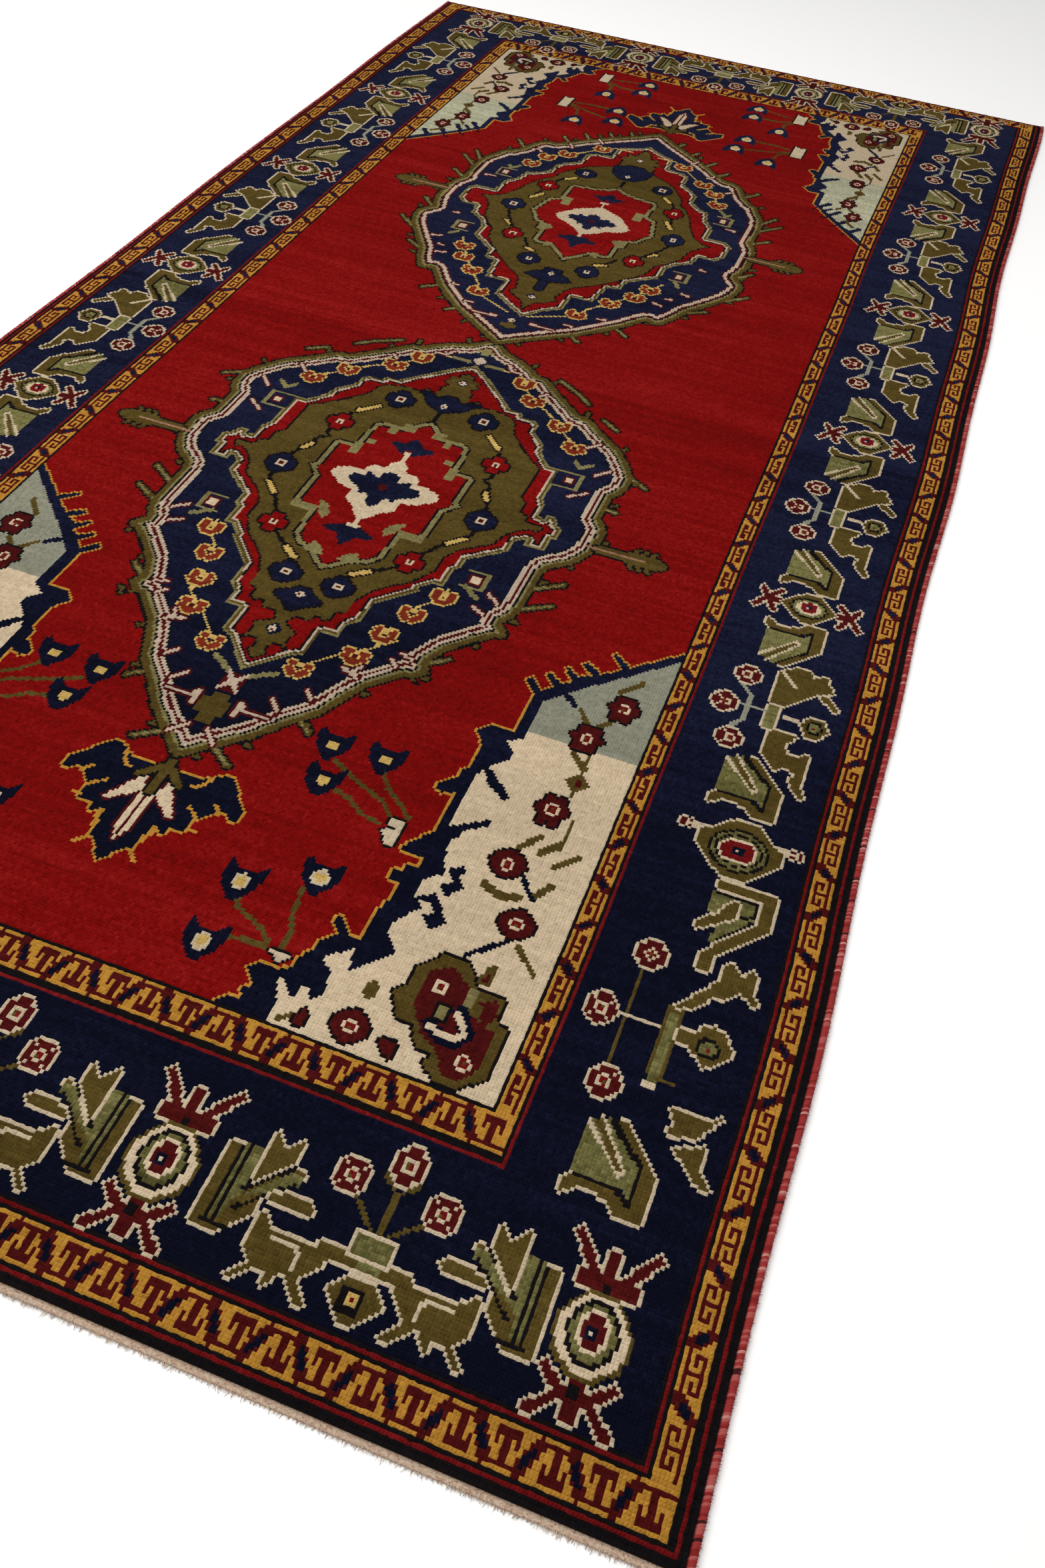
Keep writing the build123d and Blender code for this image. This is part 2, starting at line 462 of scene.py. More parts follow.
def hanging_leaf(at, flip):
    """The long folded leaf below the great beetle, with its foot turned down."""
    fold = Pen(at=at, anchor=(381, 183), flip=flip)
    fold.shape([(380.5, 168), (394.7, 168), (394.7, 160.8), (384, 149.8), (382.5, 151), (384.5, 155.5),
                (380.5, 160.5)], FERN)
    fold.lines([
        [(381, 167.8), (394.3, 167.8), (394.3, 162.5), (391, 161.5)], [(394, 160.3), (385, 151)],
    ], DARK, 1.0)
    fold.lay()
    outer = fold.fresh()
    outer.shape([(381.5, 171.6), (400.3, 171.6), (400.3, 160), (386, 145.3), (386, 139.8),
                 (382.5, 139.8), (382.5, 146), (386, 150.3), (396, 160.3), (396, 169.2),
                 (381.5, 169.2)], OLIVE)
    outer.rim(CREAM).lay()
    strip = fold.fresh()
    strip.shape([(386.5, 165.3), (389, 165.8), (389.5, 161), (385.5, 157.7), (378.5, 153),
                 (377.5, 153.6), (378.4, 155.8), (383.7, 160.5)], OLIVE)
    strip.rim(CREAM).lay()


def side_vase(at, flip):
    """The vase lying on its side between two beasts, with three rosettes on a grey stem."""
    beasts = Pen(at=at, anchor=(380, 244), flip=flip)
    beasts.shape([(378, 250), (378, 265.5), (383.5, 270), (388.5, 270), (390.5, 267.2), (395.3, 269.6),
                  (396.4, 266.5), (399, 262.4), (394, 260), (383, 250)], OLIVE)
    beasts.line([(396, 259.5), (400.7, 255)], OLIVE, 2.2)
    beasts.shape([(381, 238), (381, 227), (386, 221), (388, 221), (390, 223.2), (394, 221.4),
                  (392.5, 218), (397.3, 212), (399.3, 212), (397.2, 217), (397.2, 232), (393.6, 229),
                  (389, 228.5), (388.2, 233), (391, 238)], OLIVE).rim(CREAM)
    beasts.line([(379.5, 266), (385, 260.5)], CREAM, 1.0)
    beasts.lay()
    pot = beasts.fresh()
    pot.box(378, 238.5, 382.5, 249.5, FERN).rim(CREAM)
    pot.line([(384, 245), (390, 245)], CREAM, 1.1)
    pot.line([(367, 245.4), (377, 245.4)], GREY, 1.3)
    pot.line([(366.5, 255), (371, 250.5), (371, 238.5), (367.5, 234.5)], GREY, 1.7)
    pot.lay()
    eye = beasts.fresh()
    eye.shape([(390.8, 244), (393.5, 248.4), (398, 248.4), (400.8, 244), (398, 239.2),
               (393.5, 239.2)], OLIVE).rim(CREAM)
    eye.oval(395.8, 244, 2.9, 3.1, DARK)
    eye.oval(395.8, 244, 1.9, 2.1, FERN)
    eye.box(395.3, 243.5, 396.3, 244.5, SCARLET)
    eye.lay()
    rosettes(at, flip, [(-12.7, 16), (-17.3, 0.5), (-11.3, -15)])


def long_vase(at, flip):
    """The first vase from the near end: a long pot, an olive stem, and two leaner beasts."""
    pot = Pen(at=at, anchor=(380, 119), flip=flip)
    pot.box(378, 104, 383, 126, OLIVE)
    pot.box(379, 102, 382, 124, FERN)
    pot.line([(382, 103.8), (386, 103.3)], OLIVE, 1.3)
    pot.box(378, 100.5, 382.3, 102.2, CREAM)
    pot.line([(367.5, 134), (367.5, 103)], OLIVE, 1.9)
    pot.line([(365, 118.5), (378, 118)], CREAM, 1.0)
    pot.lay()
    beasts = pot.fresh()
    beasts.shape([(380, 126.2), (384.5, 131.5), (390, 138.5), (390.3, 144.3), (392.3, 145.3),
                  (395.7, 141.5), (398.3, 144.6), (400, 144.3), (400, 137.5), (402.5, 134.5),
                  (401, 133.5), (396.8, 137), (393, 133.5), (390, 133.3), (384.5, 127)], OLIVE)
    beasts.shape([(386, 98.7), (388, 97), (400, 97), (401.8, 98.8), (398.5, 94), (397.5, 91.5),
                  (392, 90.3), (389.3, 90.3), (389.8, 94)], OLIVE)
    beasts.shape([(399.8, 90), (399.8, 83.5), (403.7, 79.5), (401, 79.3), (397, 82.5),
                  (392.3, 86.5)], OLIVE)
    beasts.shape([(383, 120.3), (388, 120.3), (389.5, 122.5), (392.5, 123.8), (396, 122.5),
                  (399.5, 117.5), (396, 113), (392.5, 111.2), (389, 114), (387, 115.7),
                  (383, 115.7)], OLIVE)
    beasts.rim(CREAM)
    beasts.oval(392.4, 116.8, 3.5, 3.3, DARK)
    beasts.oval(392.4, 116.8, 2.4, 2.2, FERN)
    beasts.box(391.9, 116.3, 392.9, 117.3, SCARLET)
    beasts.lay()
    rosettes(at, flip, [(-11.5, 20.5), (-19.9, -0.9), (-11.8, -21.3)], 1.1)


def side_leaf(at, flip, open_leaf):
    """A folded striped leaf that points to the beetle, in the side borders."""
    pen = Pen(at=at, anchor=(379, 303), flip=flip)
    pen.shape([(367, 313), (367.5, 316.5), (369, 318), (371, 318), (381, 317.5), (383.5, 316),
               (385.5, 318), (385.5, 325.5), (375.5, 335), (377.5, 336.5), (386.5, 328.5), (390, 324.5),
               (390, 312), (382.5, 312), (379.5, 315.3), (372, 315.8)], OLIVE).rim(CREAM)
    pen.shape([(368.5, 319.3), (368.5, 333), (374, 336), (385.3, 326.3), (385.3, 316.5),
               (382, 319)], FERN)
    pen.lines([
        [(369, 318.6), (381.5, 318), (385, 315.6)], [(385.5, 315.6), (385.5, 326), (375.5, 335.3)],
    ], DARK, 1.0)
    pen.line([(368.5, 333), (380.5, 321.5), (381.5, 323.5), (371.5, 335.5)], CREAM, 1.0)
    pen.line([(371, 333.2), (380.5, 323.3)], OLIVE, 1.5)
    if open_leaf:
        pen.line([(374.5, 335), (383, 327)], DARK, 1.0)
    pen.lay()


def draw_main_border():
    """The navy main border, which carries the beetles, vases and leaves round the rug."""
    near_row, far_row = 38, 781
    for row, flip_y in ((near_row, 1), (far_row, -1)):
        for column in (34, 151, 269, 387):
            end_beetle((column, row), (1, flip_y))
        for column in (92, 210, 329):
            end_vase((column, row - 4 * flip_y), (1, flip_y))
            for flip_x in (-1, 1):
                end_leaves((column + 37 * flip_x, row), (flip_x, flip_y))
    for column, flip_x in ((381, 1), (36, -1)):
        great_beetle((column, 183), (flip_x, 1))
        hanging_leaf((column, 183), (flip_x, 1))
        side_leaf((column, 190), (flip_x, 1), True)
        for index, row in enumerate((303, 419, 536, 650)):
            side_beetle((column, row), (flip_x, 1))
            side_leaf((column - 2 * flip_x, row), (flip_x, 1), index % 2 == 0)
            side_leaf((column - 2 * flip_x, row - 1), (flip_x, -1), index % 2 == 1)
        long_vase((column - flip_x, 119), (flip_x, 1))
        for row in (244, 361, 478, 594, 710):
            side_vase((column - flip_x, row), (flip_x, 1))
        side_leaf((column - 2 * flip_x, 56), (flip_x, 1), True)
        side_leaf((column - 2 * flip_x, 768), (flip_x, -1), True)


# ---- Medallions -----------------------------------------------------------------------------

# Half outlines, on the left of the axis, from the far tip round to the near one.
AXIS = 200
MEDALLION = [
    (200, 424), (195, 420), (190, 415.5), (182, 412.5), (174, 407.5), (171, 404.5), (166, 404),
    (155.5, 394.5), (143, 384), (137, 383), (130, 377), (117, 367), (111, 359), (106, 351),
    (106, 343.5), (107.5, 338), (110, 334.5), (110, 321), (106, 316), (105, 310), (106, 299),
    (108.5, 293.5), (112, 288.5), (119, 283.3), (120, 279.8), (120, 260), (121, 254), (124, 249.6),
    (120.5, 245.7), (120, 242), (124, 241), (129.5, 236.5), (137.5, 228), (141, 221), (138, 216.5),
    (142, 212.5), (140, 210), (146, 211), (155.5, 201.5), (160, 193.5), (164, 184.5), (173.5, 174.5),
    (180, 166.5), (200, 149),
]
INNER_FRAME = [
    (200, 399), (191.5, 392.5), (184, 385.5), (178, 380), (173, 374.5), (167, 374.5), (166, 371.5),
    (160.5, 371.5), (157, 369), (156.5, 363.5), (150, 356.5), (149, 351.5), (143, 344), (137, 344),
    (137, 323.5), (134.6, 318.5), (134.6, 312), (132, 311), (132, 313.7), (127.7, 313.7), (126, 309.5),
    (123, 308), (122.7, 301.7), (125.4, 301), (125.4, 292.6), (133.8, 292.6), (133.8, 296.8),
    (137.7, 294), (138, 287), (145, 281.5), (151, 276.5), (151, 271), (153, 269), (153, 259),
    (157, 259), (161, 255), (160, 253.5), (168, 245.7), (172.5, 241), (173, 231), (176.7, 226.4),
    (176.7, 219.8), (183.5, 219.8), (183.5, 208), (188, 205.4), (193, 200), (200, 193),
]
OLIVE_GROUND = [
    (200, 392), (196.5, 390), (196, 387.5), (192.3, 387.5), (192.8, 384), (190.8, 382), (194.6, 379.5),
    (192, 378), (191.5, 372), (187, 374.5), (185.4, 371), (178.5, 371.5), (169, 369), (166, 365.5),
    (165.4, 361), (161.5, 355.7), (155.4, 349.4), (145.4, 341), (145.4, 321.4), (142.3, 318),
    (142.3, 312.3), (138.5, 310), (137.7, 306.8), (130.8, 307), (130, 304.5), (132.3, 301.3),
    (134.6, 302.6), (138.5, 299.8), (142.3, 295.6), (144.8, 288.4), (151.2, 283.7), (156.3, 279),
    (158.8, 274.4), (158.8, 266.7), (163, 259), (167.3, 254.3), (172.5, 250.4), (176.7, 245),
    (179.7, 238.8), (179.7, 231.8), (182.7, 231), (183, 226.4), (186, 224.8), (188.7, 226.4),
    (190.4, 222.5), (195.5, 223.3), (197.2, 219.4), (191.2, 216.3), (192, 212.4), (191.2, 207),
    (196.3, 208.5), (197.2, 204.7), (195.5, 202.3), (200, 199),
]
HEART_FRAME = [
    (200, 353), (191.5, 345), (190.8, 343.5), (181, 343.5), (177, 341), (176, 325), (169.5, 325),
    (167.5, 323), (167.3, 307), (164.6, 304.7), (170.4, 298.4), (170.4, 282), (174, 278), (179.5, 278),
    (179.7, 271), (180.6, 263.5), (185.3, 258), (190, 257.4), (193, 254.3), (200, 248.5),
]
LOZENGE = [
    (200, 322.5), (196, 318), (195.4, 315.5), (191.5, 315.2), (188, 313), (188.5, 310.2),
    (181.5, 309.5), (177, 307.4), (175.8, 304.3), (177.7, 301.8), (183.8, 297.6), (188.5, 297.3),
    (189, 291), (193, 288.4), (195.5, 285.3), (200, 281),
]
LOZENGE_FLOWER = [
    (200, 313.5), (196.5, 311.6), (195.8, 308), (193.5, 308.8), (189.6, 310.2), (189.6, 307.4),
    (185.4, 306.7), (183.8, 304), (186.2, 301), (189.6, 299.8), (192.3, 297.7), (191.5, 295),
    (195, 297), (197, 295.5), (197.3, 292), (200, 289.5),
]
# The birds beyond the lozenge: the row that each is counted from, and its half outline.
BIRDS = [
    (331.5, [(200, 338), (197, 335), (196, 332.6), (193, 332.8), (188.5, 332.2), (192, 330),
             (196.2, 327), (198.5, 325.5), (198.5, 328.5), (200, 329)]),
    (270.5, [(200, 276), (198.5, 276), (196.5, 277), (193, 275), (188.5, 273), (191, 271.5),
             (195.3, 271), (197, 269), (200, 264.5)]),
]

# The far medallion is squatter than the near one, and wider about its waist. Its axis wanders: the
# rows, with the column of the axis for its edge and for the figures inside.
FAR_ROWS = (420, 450, 500, 560, 620, 680)
FAR_EDGE_AXIS = (201, 201.5, 204, 203.7, 203, 201.5)
FAR_AXIS = (200, 200.5, 201.5, 202.6, 203, 201.5)
FAR_MEDALLION = [
    (203, 678), (197.5, 673.5), (190, 667), (182, 661), (172, 653.5), (163, 646), (154.5, 638),
    (150, 634.5), (146, 635), (140, 631), (136.5, 625), (134, 619), (129, 613), (125.5, 611.5),
    (122, 604), (118.5, 598), (117, 590), (116.5, 582), (117.5, 569), (114.5, 563.5), (113, 556),
    (113, 543), (115, 534), (116.5, 530.5), (111.5, 524.5), (110.8, 519), (113, 511), (115.5, 506),
    (119.5, 500), (124, 493), (129, 486), (132, 477), (136.5, 468.5), (140, 466.5), (144.5, 468.5),
    (152, 457.5), (160, 448.5), (169, 440), (184, 429.5), (201, 417.5),
]
FAR_INNER_FRAME = [
    (203, 655), (197.5, 650.5), (187, 645.5), (185.8, 640), (185.2, 632), (176, 631), (172, 628),
    (170.8, 616), (164.7, 611.5), (160.3, 606.5), (159.5, 597.5), (153, 592), (148.5, 590.5),
    (146, 581), (141, 574.5), (140.3, 562.5), (130, 563), (125.5, 559), (126, 546), (130.5, 540.5),
    (138, 541), (139.5, 532.5), (147, 527), (150, 521.5), (150, 511), (157, 505.5), (163.3, 500),
    (164, 492), (170, 490.5), (171.5, 478.5), (172.5, 473.5), (182.5, 474), (182.8, 461), (190, 455.5),
    (203, 446),
]
FAR_OLIVE_GROUND = [
    (202, 650), (200, 646), (198, 640), (192.5, 641), (194, 637), (189.5, 634), (193, 631), (192, 621),
    (184, 617.5), (176, 612), (170, 604), (166, 598.5), (164.7, 592), (160, 587.5), (154.5, 578),
    (152, 570), (147, 560.5), (142, 556.5), (135, 554), (139.5, 551), (144, 544.5), (146, 534),
    (151.5, 525.5), (155.5, 521.5), (157.5, 512), (162, 505.5), (170.5, 496), (178, 488),
    (185.5, 482.5), (188, 478), (190, 470), (187.5, 467), (191.5, 463.5), (197.5, 459.5), (199.5, 454),
    (202, 452),
]
FAR_HEART_FRAME = [
    (203, 596.6), (197.4, 592), (190, 589.8), (178, 588.5), (176, 585), (176.6, 570.3), (170.7, 567.6),
    (169.2, 560.8), (166.2, 550), (169.9, 544.6), (172.2, 539.3), (176.6, 538), (176, 532.5),
    (179.6, 529.8), (179, 520.4), (182.6, 517), (190, 517.7), (193.7, 513.6), (202, 504.8),
]
FAR_LOZENGE = [
    (201.9, 569), (197.4, 566.2), (190, 562.2), (184, 555.4), (180.8, 551.4), (184, 547.3),
    (191.5, 544), (197.4, 539.3), (200.7, 536),
]


def teeth(points, pitch, low, high):
    """Small thorns along an outline, each leaning a little to one side, as short lines."""
    thorns = []
    closed = points + points[:1]
    travelled = pitch * 0.7
    for (x0, y0), (x1, y1) in zip(closed, closed[1:]):
        length = math.hypot(x1 - x0, y1 - y0)
        while travelled < length:
            t = travelled / length
            x, y = x0 + (x1 - x0) * t, y0 + (y1 - y0) * t
            out_x, out_y = (y1 - y0) / length, -(x1 - x0) / length
            if out_x * (x - AXIS) < 0 and abs(out_x) > 0.2:
                out_x, out_y = -out_x, -out_y
            reach = chance.uniform(low, high)
            lean = chance.uniform(0.1, 0.6)
            thorns.append([(x, y), (x + out_x * reach, y + out_y * reach + lean * reach)])
            travelled += pitch * chance.uniform(0.6, 1.5)
        travelled -= length
    return thorns


class Medallion:
    """One of the two medallions. Its points are counted off on its left half, and mirrored."""

    def __init__(self, name, figures):
        self.name = name
        self.is_far = name == "medallion_far"
        self.figures = figures

    def mirror(self, points, side, edge=False):
        """A run of points, on the left side (-1) or mirrored to the right one (1)."""
        placed = []
        for x, y in points:
            axis = AXIS
            if self.is_far:
                x -= np.interp(y, (566, 600, 640, 677), (0, 0.2, 0.8, 1.6))
                axis = np.interp(y, FAR_ROWS, FAR_EDGE_AXIS if edge else FAR_AXIS)
            placed.append((2 * axis - x if side > 0 else x, y))
        return placed

    def outline(self, half, edge=False):
        """A whole outline from its left half."""
        return self.mirror(half, -1, edge) + self.mirror(half[1:-1], 1, edge)[::-1]

    def on_axis(self, row):
        """The point of the axis at a row."""
        axis = np.interp(row, FAR_ROWS, FAR_AXIS) if self.is_far else AXIS
        return self.mirror([(axis, row)], -1)[0]

    def each(self, name):
        """Every entry of one kind of figure, for each side."""
        for side in (-1, 1):
            for entry in self.figures[name]:
                yield side, entry


def palm_blossom(at, side):
    """A small red-orange blossom of five petals, finely outlined in yellow, on the navy band."""
    pen = Pen(at=at, flip=(side, 1), stretch=(0.76, 0.76))
    petals = ((-3.9, 2.6), (3.9, 2.6), (-4.3, -0.9), (4.3, -0.9), (-1.9, -3.2), (1.9, -3.2))
    for x, y in petals:
        pen.oval(x, y, 2.2, 1.8, ORANGE)
    pen.rim(YELLOW)
    pen.line([(0, 3.5), (0, -1)], YELLOW, 1.0)
    pen.box(-1.2, -1.2, 1.2, 1.2, MAROON)
    pen.lay()


def square_blossom(at, yarn, arm):
    """A cross-shaped blossom with a cream heart, on the olive ground."""
    pen = Pen(at=at)
    pen.box(-arm, -2.6, arm, 2.6, yarn)
    pen.box(-2.5, -arm, 2.5, arm, yarn)
    if yarn == NAVY:
        pen.box(-arm + 1.5, -4, arm - 1.5, 4, yarn)
    pen.rim(DARK)
    pen.box(-1.6, -1.6, 1.6, 1.6, CREAM)
    pen.box(-0.6, -0.9, 0.6, 0.9, MAROON)
    pen.lay()


# The small figures of each medallion, all on its left half: where they stand, and how they run.
NEAR_FIGURES = {
    "hooks": [  # on the heart frame
        [(185.5, 343), (189.2, 343), (189.2, 337.5), (185.5, 337.5)],
        [(180, 329.8), (184.2, 330), (184, 327), (180, 327)],
        [(176, 326), (180, 326), (180, 318), (176, 318)],
        [(190, 346), (196, 346), (196, 340.8), (191, 341)],
        [(171, 282), (182, 282), (182, 278), (171, 278)],
        [(181, 286), (185, 285), (188, 280), (187, 276), (183, 279)],
        [(188, 259), (191, 263.5), (195.5, 260), (197, 257), (190, 257)],
    ],
    "stems": [
        [(165, 343), (164, 340)], [(162.5, 330), (161.5, 327), (164, 324.5), (160.5, 322), (160, 319)],
        [(157, 311.5), (155.5, 306)], [(154, 294), (156, 289)],
        [(163, 281), (165.5, 277), (168.5, 272)], [(174, 262), (181, 256.5)], [(200, 359), (200, 352)],
    ],
    "buds": [
        [(166.5, 346), (173.5, 352.5)], [(158, 312.5), (160.5, 318)], [(156.5, 287.5), (162, 282)],
        [(182, 256), (188, 251.5)],
    ],
    "squares": [
        (180, 361, NAVY, 5.6), (163.5, 335.3, RED, 5.6), (155, 300, NAVY, 6.2),
        (170.5, 266.7, RED, 5.4), (189, 243.5, NAVY, 5.8),
    ],
    "flowers": [  # halves of the flowers on the axis
        [(200, 372), (197, 371.5), (194, 369), (190, 371), (184.5, 371), (189, 368), (191, 364),
         (196, 361.5), (200, 359)],
        [(200, 238.5), (197, 238), (195, 235), (191, 234), (191, 231), (195, 230), (198, 226.5),
         (200, 225.5)],
    ],
    "diamonds": [383.5, 215],
    "hearts": [383.5, 364, 234.3, 215],
    "vines": [
        [(196, 402), (190, 401), (179, 400), (174.5, 394), (166, 384), (158, 380), (148.5, 372),
         (143, 366), (137, 362)],
        [(150.5, 258), (150.5, 253), (157.5, 245), (157, 241)],
        [(158, 232), (162, 231), (162, 221), (166.5, 217), (167, 214), (173, 212), (182, 203)],
    ],
    "blossoms": [
        (174.5, 394.5), (166, 384), (148.5, 372), (137, 360), (150.5, 253.5), (157.5, 241),
        (162.3, 227.5), (167, 214), (182.5, 200.7),
    ],
    "thorns": [
        [(127, 368), (132, 362.5)], [(117.5, 351), (122.5, 346)], [(122, 333.5), (128, 328.5)],
        [(162, 392), (164.5, 388.5)], [(186, 406), (184, 402), (178, 401)], [(130, 258), (135.5, 262)],
        [(133, 251), (138.5, 253.5)], [(147, 220), (152, 221.5)], [(151, 215), (154.5, 217.5)],
        [(162, 204), (164, 208), (162.5, 210)], [(164, 206), (168.5, 207.5)], [(171, 189), (175, 194)],
        [(179, 180), (183.5, 185)], [(181, 176.5), (190, 176.5), (192, 180), (192, 173)],
        [(191.5, 160), (196.5, 165)],
    ],
    "brackets": [(131.5, 338.5, 5.5), (143, 267, 5)],
    "bracket_tails": [
        [(125.5, 352), (129.8, 347.8), (133.5, 352)], [(139, 258), (145.5, 262.5)],
        [(188, 196), (195.5, 191.5)], [(188, 401), (196, 400.5)],
    ],
    "spurs": [  # outside the edge, from the tip to the root
        [(142, 392), (148, 397), (160, 404)], [(124, 379), (132, 384)], [(100, 346), (108, 350.5)],
        [(106.5, 326.5), (112, 327)], [(111, 277.5), (121, 271)], [(111, 265), (123, 258)],
        [(135.5, 225.5), (141, 221)], [(165, 176.5), (170, 180)], [(182.5, 154), (190, 159)],
    ],
}
FAR_FIGURES = {
    "hooks": [
        [(178.9, 563.5), (184, 563.5), (184, 571.6), (178.9, 571.6)],
        [(178, 532.5), (182, 532.5), (185.5, 536), (182, 539.3), (178, 539.3)],
        [(187, 516), (191.5, 518), (190.5, 521.5), (187, 521)],
    ],
    "stems": [
        [(156, 546), (159, 538), (165, 528.5), (167.5, 524)], [(164.7, 574), (163, 569)],
        [(176, 519), (180, 512)], [(170, 592), (167, 586)], [(203, 604), (203, 598)],
    ],
    "buds": [
        [(175.9, 595.9), (171.4, 591.9)], [(166.2, 569.6), (161.8, 563.5)],
        [(159.5, 533.2), (163.3, 529.8)], [(179.6, 511), (184, 508.9)],
    ],
    "squares": [
        (180, 604, NAVY, 5.4), (156.1, 552, NAVY, 5.6), (185.3, 500.8, NAVY, 5.4),
        (165.4, 580.4, RED, 5.2), (168, 521.4, RED, 5.2),
    ],
    "flowers": [
        [(203, 626.5), (198.9, 625.6), (195, 622.5), (191.5, 621.6), (193.7, 612), (198.9, 606.7),
         (203, 606.5)],
        [(201, 496.5), (197.4, 496), (196, 491.5), (192, 490), (189.2, 486.6), (194, 484.5), (199, 483),
         (199.4, 473), (201, 473)],
    ],
    "diamonds": [634.4, 465.7],
    "hearts": [634.4, 611.4, 491.3, 465.7, 441.5],
    "vines": [
        [(196, 644), (184, 643), (178, 638.5), (170, 630), (162, 622), (152.5, 614), (147.7, 603.5),
         (144, 598)],
        [(146, 506), (150, 498), (158, 485), (163.5, 477), (172, 466), (174, 459), (180, 455),
         (196, 447)],
    ],
    "blossoms": [
        (178, 638.5), (161.5, 622.3), (152, 613.5), (146.8, 602), (150.2, 498), (154.5, 487.3),
        (163.8, 477), (174.6, 459.3),
    ],
    "thorns": [
        [(137.3, 494), (140.2, 493.4)], [(139.5, 486), (144.7, 487.3)], [(160.3, 461), (163.3, 460.3)],
        [(172.2, 448), (176, 448.8)], [(179.6, 441.4), (191.5, 442)], [(130.6, 528.5), (133.6, 529.2)],
        [(130.6, 500.8), (135, 502.1)], [(129, 577), (134.3, 577.7)], [(143, 621), (147, 618.5)],
        [(158, 636), (161.5, 632)], [(172, 650), (175, 646)],
    ],
    "brackets": [(138, 585, 5), (141, 517, 5)],
    "bracket_tails": [
        [(136.5, 593.5), (138.5, 591), (142.5, 596)], [(138, 507), (141.5, 511)],
    ],
    "spurs": [
        [(186, 669), (189, 663)], [(175, 661.5), (179, 655)], [(162, 653.5), (167, 646)],
        [(151.5, 644), (157, 637)], [(129, 627), (136, 618)], [(112.5, 602), (119, 592)],
        [(108, 594), (119, 583)], [(110.5, 575), (119, 568)], [(110.5, 537), (117, 530)],
        [(107.5, 513.5), (117, 505)], [(122, 491), (130, 486)], [(148, 451.5), (156, 457)],
        [(167, 437), (172, 441)],
    ],
}


def draw_medallion(place):
    """A medallion, band by band, then the small figures on each band."""
    if place.is_far:
        outlines = FAR_MEDALLION, FAR_INNER_FRAME, FAR_OLIVE_GROUND, FAR_HEART_FRAME
    else:
        outlines = MEDALLION, INNER_FRAME, OLIVE_GROUND, HEART_FRAME
    edge = place.outline(outlines[0], True)
    frame, ground, heart = (place.outline(half) for half in outlines[1:])
    frill = Pen()
    for thorn in teeth(edge, 20.0, 1.2, 2.6):
        frill.line(thorn, OLIVE, 1.9)
    frill.rim(DARK).lay(place.name)
    if place.is_far:
        lines = [(4.6, DARK), (5.2, MAROON), (6.2, STONE), (8.2, MAROON), (8.9, NAVY)]
    else:
        lines = [(4.3, DARK), (5.0, STONE), (6.4, MAROON), (7.5, STONE), (8.9, DARK), (9.5, NAVY)]
    Pen().bands(edge, [(0, DARK), (0.9, OLIVE), (3.3, SAGE)] + lines).lay(place.name)
    Pen().bands(frame, [(0, SAGE), (0.9, OLIVE), (1.8, STONE), (2.7, DARK), (3.4, RED)]).lay()
    Pen().bands(ground, [(0, DARK), (0.8, OLIVE)]).lay()
    Pen().bands(heart, [(0, DARK), (0.8, SAGE), (2.8, DARK), (3.4, RED)]).lay()
    hooks = Pen()
    for side, points in place.each("hooks"):
        hooks.shape(place.mirror(points, side), SAGE)
    hooks.lay()
    draw_heart(place)
    draw_olive_ground(place)
    draw_navy_band(place)
    draw_medallion_spurs(place)


def draw_heart(place):
    """The ivory lozenge on its two necks, with a navy flower inside and a navy bird at each end."""
    if place.is_far:
        lozenge, necks = place.outline(FAR_LOZENGE), ((201.5, 565, 574), (201, 540, 532))
        flower = dict(at=(201.7, 551), anchor=(200, 302), stretch=(0.87, 0.76))
        birds = ((202, 580.5, 0.94, 0.82), (201, 527, 1.0, 1.05))
    else:
        lozenge, necks = place.outline(LOZENGE), ((200, 318, 327), (200, 285, 277))
        flower = dict(at=(200, 302), anchor=(200, 302))
        birds = ((200, 331.5, 1, 1), (200, 270.5, 1, 1))
    centre = Pen()
    centre.shape(lozenge, IVORY)
    for x, root, tip in necks:
        centre.line([(x, root), (x, tip)], IVORY, 1.6)
        centre.line([(x - 1.6, tip), (x + 1.6, tip)], IVORY, 2.2)
    centre.lay()
    pen = Pen(**flower)
    pen.shape(both_sides(LOZENGE_FLOWER, AXIS), NAVY)
    pen.oval(200, 303, 2.2, 1.8, MAROON)
    pen.lay()
    for (x, y, across, along), (row, half) in zip(birds, BIRDS):
        pen = Pen(at=(x, y), anchor=(AXIS, row), stretch=(across, along))
        pen.shape(both_sides(half, AXIS), NAVY).lay()


def draw_olive_ground(place):
    """The blossoms, buds and stems on a medallion's olive ground."""
    stems = Pen()
    for side, run in place.each("buds"):
        stems.line(place.mirror(run, side), YELLOW, 2.2)
    stems.rim(DARK)
    for side, run in place.each("stems"):
        stems.line(place.mirror(run, side), DARK, 1.7)
    stems.lay()
    for side, (x, y, yarn, arm) in place.each("squares"):
        square_blossom(place.mirror([(x, y)], side)[0], yarn, arm)
    axis_figures = Pen()
    for half in place.figures["flowers"]:
        axis_figures.shape(place.outline(half), NAVY)
    axis_figures.rim(DARK)
    for row in place.figures["diamonds"]:
        x, y = place.on_axis(row)
        axis_figures.shape([(x - 3.2, y), (x, y + 3.2), (x + 3.2, y), (x, y - 3.2)], NAVY)
    for row in place.figures["hearts"]:
        x, y = place.on_axis(row)
        axis_figures.shape([(x - 2, y), (x, y + 2), (x + 2, y), (x, y - 2)], CREAM)
        axis_figures.box(x - 0.5, y - 0.5, x + 0.5, y + 0.5, SCARLET)
    axis_figures.lay()


